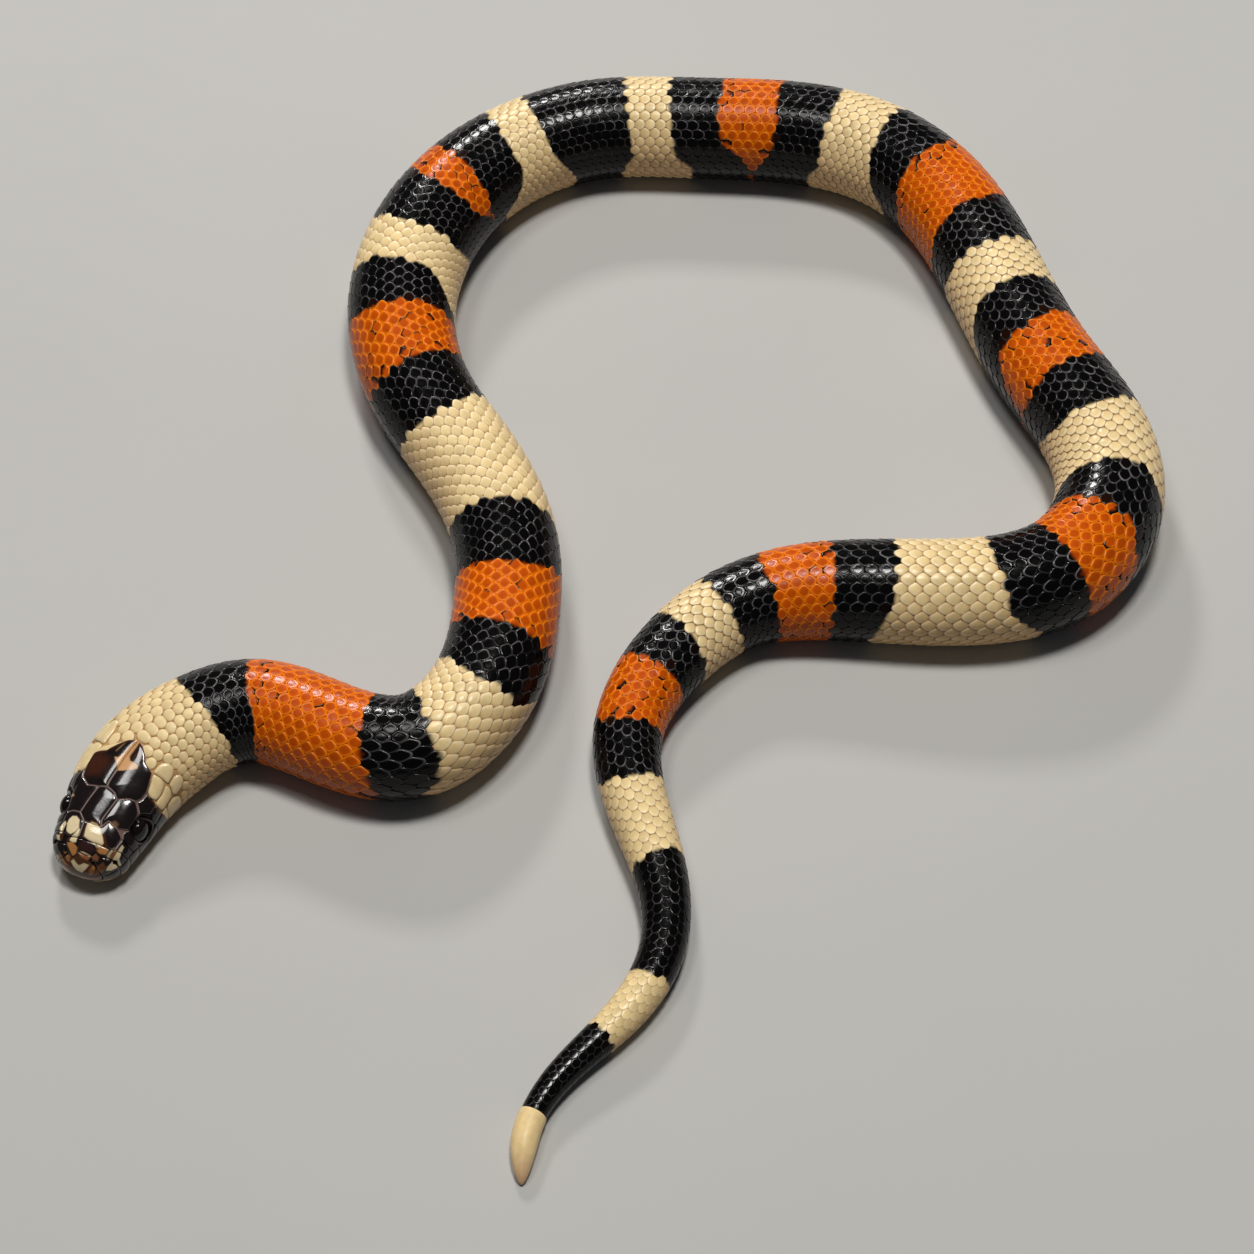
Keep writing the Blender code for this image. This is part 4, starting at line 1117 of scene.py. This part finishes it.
def plate_outline(corners, passes=4):
    """A fine outline with rounded corners, turned so that its area is positive."""
    following = np.roll(corners, -1, axis=0)
    area = (corners[:, 0] * following[:, 1] - following[:, 0] * corners[:, 1]).sum()
    if area < 0:
        corners = corners[::-1]
    step = 0.12
    points = []
    for start, end in zip(corners, np.roll(corners, -1, axis=0)):
        count = max(1, int(round(np.hypot(*(end - start)) / step)))
        points += [start + (end - start) * k / count for k in range(count)]
    points = np.array(points)
    for _ in range(passes):
        points = (np.roll(points, 1, axis=0) + 2 * points + np.roll(points, -1, axis=0)) / 4
    return points


def inset(points, depth):
    along = np.roll(points, -1, axis=0) - np.roll(points, 1, axis=0)
    along /= np.maximum(np.linalg.norm(along, axis=1, keepdims=True), 1e-9)
    return points + np.stack([-along[:, 1], along[:, 0]], -1) * depth


PLATE_GRID = 0.1
PLATE_EDGES = (0.045, 0.1, 0.18)
PLATE_GAP = 0.015
SEAM_WIDTH = 0.09


def add_plate(store, name, outline, rise=1.0, paint=head_colours, polar=False):
    """One domed plate over its outline, closed underneath, gathered into the store."""
    corners = fine_outline(np.array(outline, float))
    middle_t = corners[:, 0].mean()
    radius = float(eased(GIRTH, 1, max(middle_t, 2.5))) / 2
    if polar:
        corners = polar_place(corners[:, 0], corners[:, 1])
    else:
        corners = np.stack([corners[:, 0], np.radians(corners[:, 1]) * radius], -1)
    soft = name.startswith("temple") or name == "upper_lip_6"
    rim = inset(plate_outline(corners, 30 if soft else 4), PLATE_GAP)
    lines = [np.arange(low, high, PLATE_GRID) for low, high in zip(rim.min(axis=0), rim.max(axis=0))]
    inner = np.stack(np.meshgrid(*lines, indexing="ij"), -1).reshape(-1, 2)
    inner = inner[edge_depth(inner, rim) > PLATE_EDGES[-1] + 0.06]
    rings = []
    for depth in PLATE_EDGES:
        ring = inset(rim, depth)
        rings.append(ring[edge_depth(ring, rim) > depth * 0.9])
    count = len(rim)
    spots = np.concatenate([rim] + rings + [inner])
    loop = [(k, (k + 1) % count) for k in range(count)]
    flat, _, triangles, _, _, _ = delaunay_2d_cdt([tuple(spot) for spot in spots], loop, [], 1, 1e-6)
    flat = np.array([tuple(spot) for spot in flat])
    depth = np.clip(edge_depth(flat, rim), 0, None)
    depth[:count] = 0
    heights = rise * (0.03 + 0.17 * (1 - np.exp(-depth / (0.2 if soft else 0.08)))
                      + 0.14 * (1 - np.exp(-depth / 0.9)))
    flat = np.concatenate([flat, rim])
    depth = np.concatenate([depth, np.zeros(count)])
    heights = np.concatenate([heights, np.full(count, -0.3)])
    top = len(flat) - count
    if polar:
        t, degrees = polar_read(flat)
    else:
        t, degrees = flat[:, 0], np.degrees(flat[:, 1] / radius)
    start = store["total"]
    first_face = len(store["faces"])
    store["faces"] += [tuple(start + v for v in face) for face in triangles]
    for k in range(count):
        following = (k + 1) % count
        store["faces"].append((start + top + k, start + top + following, start + following, start + k))
    store["faces"].append(tuple(start + top + k for k in reversed(range(count))))
    points = on_skin(t, np.radians(degrees), heights)
    colours = paint(t, degrees, name)
    line = np.clip(1.25 - depth / SEAM_WIDTH, 0, 1)[:, None]
    dark = colours.mean(-1, keepdims=True) < 0.12
    # On top of the head the seams are painted paler than down the sides: partly pale skin, partly painted
    # highlight
    on_top = (np.abs(degrees) < TOP_DEGREES)[:, None] & (t > TOP_START)[:, None]
    dark_seam = np.where(on_top, SUTURE_AND_GLINT, colours * 0.7)
    pale_seam = np.where(on_top, colours * 0.9, colours * 0.6)
    colours = blend(colours, np.where(dark, dark_seam, pale_seam), line)
    # Bake places for each corner: the top in the middle of a cell, its walls round it, and the
    # underside small in the corner of the cell
    wide = np.abs(flat - flat.mean(axis=0)).max()
    local = (flat - flat.mean(axis=0)) / wide * np.where(np.arange(len(flat)) < top, 0.38, 0.43)[:, None]
    own = np.concatenate([np.array(face) - start for face in store["faces"][first_face:]])
    places = local[own]
    places[-count:] = places[-count:] * 0.06 + 0.46
    store["points"].append(points)
    store["colours"].append(colours)
    store["bake"].append(places)
    store["total"] += len(points)


def new_store():
    return {"points": [], "colours": [], "bake": [], "faces": [], "total": 0}


def finish_plates(name, store, material):
    across = math.ceil(math.sqrt(len(store["bake"])))
    bake = [(places + [number % across + 0.5, number // across + 0.5]) / across
            for number, places in enumerate(store["bake"])]
    plates = make_object(name, np.concatenate(store["points"]), store["faces"],
                         np.concatenate(store["colours"]), np.concatenate(bake), material)


def mirrored(outline):
    return [(t, -angle) for t, angle in outline]


def add_pair(store, name, outline, **looks):
    """A plate and its mirror image on the other side of the head."""
    add_plate(store, name, outline, **looks)
    add_plate(store, name, mirrored(outline), **looks)


def lip_colours(t, degrees, plate):
    """The lower lip and the chin: dark below the snout and the eye, cream behind."""
    wave = noise_1d(t * 1.9 + degrees * 0.07, 11)
    dark = np.clip((np.sin(t * 1.9 + degrees * 0.03) + wave * 0.7 + 0.35) / 0.5, 0, 1)[:, None]
    near_lip = np.clip((132 - np.abs(degrees)) / 8, 0, 1)[:, None]
    ahead = (np.clip((cap_rear(degrees) - t) / 0.5, 0, 1) * np.clip((t - 1.8) / 0.9, 0, 1))[:, None]
    share = 0.85 * dark * near_lip * ahead
    brown = np.where((t < 6)[:, None], SNOUT_BROWN * 0.8, DARK_HEAD)
    return blend(side_cream_and_shade(degrees, 0.4), brown, share)


def rostral_outline():
    """The plate that closes the tip of the snout, from its top down to the mouth."""
    above = [(1.05, 70), (1.2, 42), (1.7, 25), (1.5, 14), (1.8, 8), (2.45, 7), (2.2, -4), (2.5, -14),
             (1.6, -18), (1.2, -42), (1.05, -70)]
    hem = [(t, float(mouth_angle(t)) - 3.0) for t in (1.05, 0.85, 0.7, 0.55, 0.45, 0.38)]
    return above + mirrored(hem) + hem[::-1]


def make_head_plates():
    store = new_store()
    add_plate(store, "rostral", rostral_outline(), SHIELD_RISE, polar=True)
    for name, outline in TOP_SHIELDS.items():
        add_plate(store, name, outline, SHIELD_RISE, polar="nasal" in name)
    for name, outline in SIDE_SHIELDS.items():
        add_pair(store, name, outline, rise=SHIELD_RISE, polar="nasal" in name)
    for k in range(len(LIP_ENDS) - 1):
        front, rear = LIP_ENDS[k], LIP_ENDS[k + 1]
        low = [(t, float(mouth_angle(t)) - LIP_HEM) for t in (rear, (front + rear) / 2, front)]
        outline = [(front, LIP_TOPS[k]), (rear, LIP_TOPS[k + 1])] + low
        if k == len(LIP_ENDS) - 2:
            # The last plate is drawn in at both ends of its top and at its rear
            low[0] = (rear - 0.5, low[0][1])
            outline = [(front, 84), (front + 0.9, LIP_TOPS[k] + 0.5), (rear - 1.3, LIP_TOPS[k + 1]),
                       (rear - 0.3, 86), (rear, 95)] + low
        add_pair(store, f"upper_lip_{k}", outline, polar=k < 2)
    finish_plates("head_shields", store, shield_finish)
    store = new_store()
    for k in range(len(LIP_ENDS) - 1):
        front, rear = LIP_ENDS[k] + 0.3, LIP_ENDS[k + 1] + 0.3
        high = [(t, float(mouth_angle(t)) + LIP_HEM) for t in (front, (front + rear) / 2, rear)]
        low = [(t, float(mouth_angle(t)) + LOWER_LIP_DEPTH) for t in (rear, front)]
        add_pair(store, "lower_lip", high + low, paint=lip_colours, polar=k < 2)
    for outline in CHIN_SHIELDS.values():
        add_pair(store, "chin", outline, paint=lip_colours)
    mental = [(1.4, 122), (3.0, 160), (3.2, 180), (3.0, 200), (1.4, 238), (0.6, 215), (0.5, 180), (0.6, 145)]
    add_plate(store, "mental", mental, paint=lip_colours, polar=True)
    finish_plates("jaw_shields", store, shield_finish)


make_head_plates()


# The eyes, and the ring of skin round each

UP = np.array([0, 0, 1.0])
IRIS_RADIUS = 1.42
PUPIL_RADIUS = 1.25
# The ring of skin: its radius, and half its width and height
RIM_RADIUS = 2.2
RIM_HALF_WIDTH = 0.26
RIM_HALF_HEIGHT = 0.17


def eye_material():
    material, nodes, links, shader = new_material("eye_gloss")
    set_inputs(shader, {"Coat Weight": 0.12, "Coat Roughness": 0.02, "Specular IOR Level": 0.3})
    fleck = object_noise(nodes, links, {"Scale": 3000})
    tinted_paint(nodes, links, fleck, {"To Min": 0.6, "To Max": 1.5})
    gloss = set_inputs(nodes.new("ShaderNodeMapRange"), {"To Min": 0.05, "To Max": 0.12})
    links.new(fleck.outputs["Fac"], gloss.inputs["Value"])
    links.new(gloss.outputs["Result"], shader.inputs["Roughness"])
    return material


def side_reach(s, height):
    """How far out the skin stands at a height above the floor."""
    half, back, level, belly, square = girth(s)
    up = np.where(height > level, (height - level) / (back - level),
                  (level - height) / ((level - belly) * BELLY_DEPTH_SHARE))
    return half * (1 - np.clip(up, 0, 1) ** square) ** (1 / square)


def make_eye(name, side, material):
    """A ball with a dark pupil, an iris a little paler round it, and the rest dark."""
    _, ahead, across = head_axes()
    rings, around = 30, 48
    out = np.linspace(0, math.pi, rings + 1)
    turn = np.linspace(0, 2 * math.pi, around, endpoint=False)
    out, turn = np.meshgrid(out, turn, indexing="ij")
    flat = np.sin(out) * EYE_RADIUS
    lateral = np.cos(out) * EYE_DEPTH
    level = ahead * (flat * np.cos(turn))[..., None]
    upright = UP * (flat * np.sin(turn))[..., None]
    points = eye_centre(side) + across * side * lateral[..., None] + level + upright
    colours = np.empty(points.shape)
    colours[:] = (0.006, 0.003, 0.0025)
    colours[(flat < IRIS_RADIUS) & (lateral > 0)] = (0.006, 0.0028, 0.002)
    colours[(flat < PUPIL_RADIUS) & (lateral > 0)] = (0.0012, 0.001, 0.001)
    faces = grid_faces(rings + 1, around)
    if side > 0:
        faces = [tuple(reversed(face)) for face in faces]
    rows = points.reshape(-1, 3)
    rows, faces, colours = weld_poles(rows, faces, colours.reshape(-1, 3), rings, around)
    eye = make_object(f"{name}_ball", rows, faces, colours, None, material)
    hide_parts(name)


def weld_poles(rows, faces, colours, rings, around):
    """Leaves one point at each pole of a ball of rings."""
    last = rings * around
    keep = [0] + list(range(around, last)) + [last]
    order = {old: new for new, old in enumerate(keep)}
    for k in range(around):
        order[k] = 0
        order[last + k] = len(keep) - 1
    welded = []
    for face in faces:
        corners = []
        for v in face:
            if order[v] not in corners:
                corners.append(order[v])
        welded.append(tuple(corners))
    return rows[keep], welded, colours[keep]


def make_eye_rims():
    """The low ring of skin round each eye."""
    around, tube = 60, 10
    points, faces = [], []
    across = head_axes()[2]
    for number, side in enumerate((-1, 1)):
        turn = np.linspace(0, 2 * math.pi, around, endpoint=False)
        t = EYE_AT[0] + RIM_RADIUS * np.cos(turn)
        height = EYE_AT[2] + RIM_RADIUS * np.sin(turn)
        reach = side_reach(t, height) - 0.06
        x, y = SPINE.place(t)
        ax, ay = SPINE.heading(t)
        ring = np.stack([x - ay * reach * side, y + ax * reach * side, height], -1)
        centre = ring.mean(axis=0)
        outward = across * side
        along = np.roll(ring, -1, axis=0) - np.roll(ring, 1, axis=0)
        along /= np.linalg.norm(along, axis=1, keepdims=True)
        away = np.cross(along, outward)
        away /= np.linalg.norm(away, axis=1, keepdims=True)
        if (away[0] @ (ring[0] - centre)) < 0:
            away = -away
        lift = np.cross(away, along)
        flip = lift[0] @ outward < 0
        if flip:
            lift = -lift
        small = np.linspace(0, 2 * math.pi, tube, endpoint=False)
        body = (ring[:, None, :] + away[:, None, :] * (RIM_HALF_WIDTH * np.cos(small))[None, :, None]
                + lift[:, None, :] * (RIM_HALF_HEIGHT * np.sin(small))[None, :, None])
        start = number * around * tube
        for k in range(around):
            following = (k + 1) % around
            for m in range(tube):
                after = (m + 1) % tube
                face = (start + k * tube + m, start + following * tube + m,
                        start + following * tube + after, start + k * tube + after)
                faces.append(face if (side > 0) == flip else tuple(reversed(face)))
        points.append(body.reshape(-1, 3))
    points = np.concatenate(points)
    colours = np.tile(DARK_HEAD * 0.9, (len(points), 1))
    rims = make_object("eye_rims", points, faces, colours, None, shield_finish)


glass = eye_material()
make_eye("eye_left", -1, glass)
make_eye("eye_right", 1, glass)
make_eye_rims()


# The smooth spine at the tip of the tail

def make_tail_spine():
    sides = 40
    reach = 12.0
    # From the front of the spine to its tip: distance from the tip, and height over the skin
    front = [reach - 0.5, reach, reach - 0.1, reach - 0.5]
    left = np.concatenate([front, np.linspace(reach - 1.2, 1.0, 24), [0.7, 0.4, 0.2, 0.08]])
    rise = np.concatenate([[-0.15, -0.02, 0.16, 0.22], np.linspace(0.24, 0.08, 24), [0.06, 0.04, 0.02, 0.0]])
    turns = np.linspace(0, 2 * np.pi, sides, endpoint=False)
    s, angle = np.meshgrid(LENGTH - left, turns, indexing="ij")
    points = on_skin(s, angle, np.broadcast_to(rise[:, None], s.shape))
    faces = tube_faces(len(left), sides)
    share = np.clip((s - (LENGTH - 5)) / 5, 0, 1)[..., None]
    streak = 1 + 0.03 * np.sin(angle * 9 + s * 0.4)[..., None]
    colours = blend(CREAM_COLOUR * [1.0, 0.96, 0.9], np.array([0.62, 0.38, 0.22]), share) * streak
    bake = tube_bake(np.linspace(0, 1, len(left)), sides)
    spine = make_object("tail_spine", points.reshape(-1, 3), faces, colours.reshape(-1, 3), bake,
                        belly_finish)


make_tail_spine()


# Floor, light and camera

def make_floor():
    material, nodes, links, shader = new_material("pale_floor")
    noise = set_inputs(nodes.new("ShaderNodeTexNoise"), {"Scale": 60, "Detail": 6})
    ramp = nodes.new("ShaderNodeValToRGB")
    ramp.color_ramp.elements[0].color = (0.45, 0.445, 0.43, 1)
    ramp.color_ramp.elements[1].color = (0.49, 0.485, 0.47, 1)
    links.new(noise.outputs["Fac"], ramp.inputs["Fac"])
    links.new(ramp.outputs["Color"], shader.inputs["Base Color"])
    shader.inputs["Roughness"].default_value = 0.8
    mesh = bpy.data.meshes.new("floor")
    # In metres, and a hair below the snake
    reach, low = 3.0, -5e-5
    corners = [(-reach, -reach, low), (reach, -reach, low), (reach, reach, low), (-reach, reach, low)]
    mesh.from_pydata(corners, [], [(0, 1, 2, 3)])
    mesh.materials.append(material)
    floor = bpy.data.objects.new("floor", mesh)
    bpy.context.scene.collection.objects.link(floor)


def aim(obj, target):
    """Turns a lamp or camera so that it looks at the target."""
    back = np.array(obj.location) - np.array(target)
    flat = math.hypot(back[0], back[1])
    obj.rotation_euler = (math.atan2(flat, back[2]), 0, math.atan2(back[0], -back[1]))


def soft_box(name, place, size, power, colour):
    data = bpy.data.lights.new(name, "AREA")
    data.shape = "RECTANGLE"
    data.size, data.size_y = size
    data.energy = power
    data.color = colour
    lamp = bpy.data.objects.new(name, data)
    lamp.location = place
    bpy.context.scene.collection.objects.link(lamp)
    aim(lamp, (0, 0, 0))


def make_camera():
    data = bpy.data.cameras.new("camera")
    data.sensor_width = SENSOR_WIDTH
    data.sensor_fit = "HORIZONTAL"
    data.lens = FOCAL_PIXELS / FRAME_PIXELS * SENSOR_WIDTH
    data.clip_start = 0.01
    camera = bpy.data.objects.new("camera", data)
    camera.location = (CAMERA_TARGET + CAMERA_AWAY * CAMERA_WAY) * MM
    camera.rotation_euler = (math.pi / 2 - CAMERA_TILT, 0, 0)
    bpy.context.scene.collection.objects.link(camera)
    bpy.context.scene.camera = camera


make_floor()
soft_box("key_light", (0.1, 0.1, 1.12), (0.2, 0.2), 7.8, (1.0, 0.98, 0.94))
soft_box("broad_light", (-0.28, 0.13, 1.1), (0.26, 0.26), 2.7, (1.0, 0.98, 0.95))
soft_box("back_light", (-0.22, 0.95, 0.62), (0.16, 0.12), 5, (1.0, 0.98, 0.96))
world = bpy.data.worlds.new("studio")
world.use_nodes = True
set_inputs(world.node_tree.nodes["Background"], {"Color": (0.9, 0.95, 1.0, 1), "Strength": 0.07})
bpy.context.scene.world = world
bpy.context.scene.view_settings.view_transform = "Standard"
make_camera()
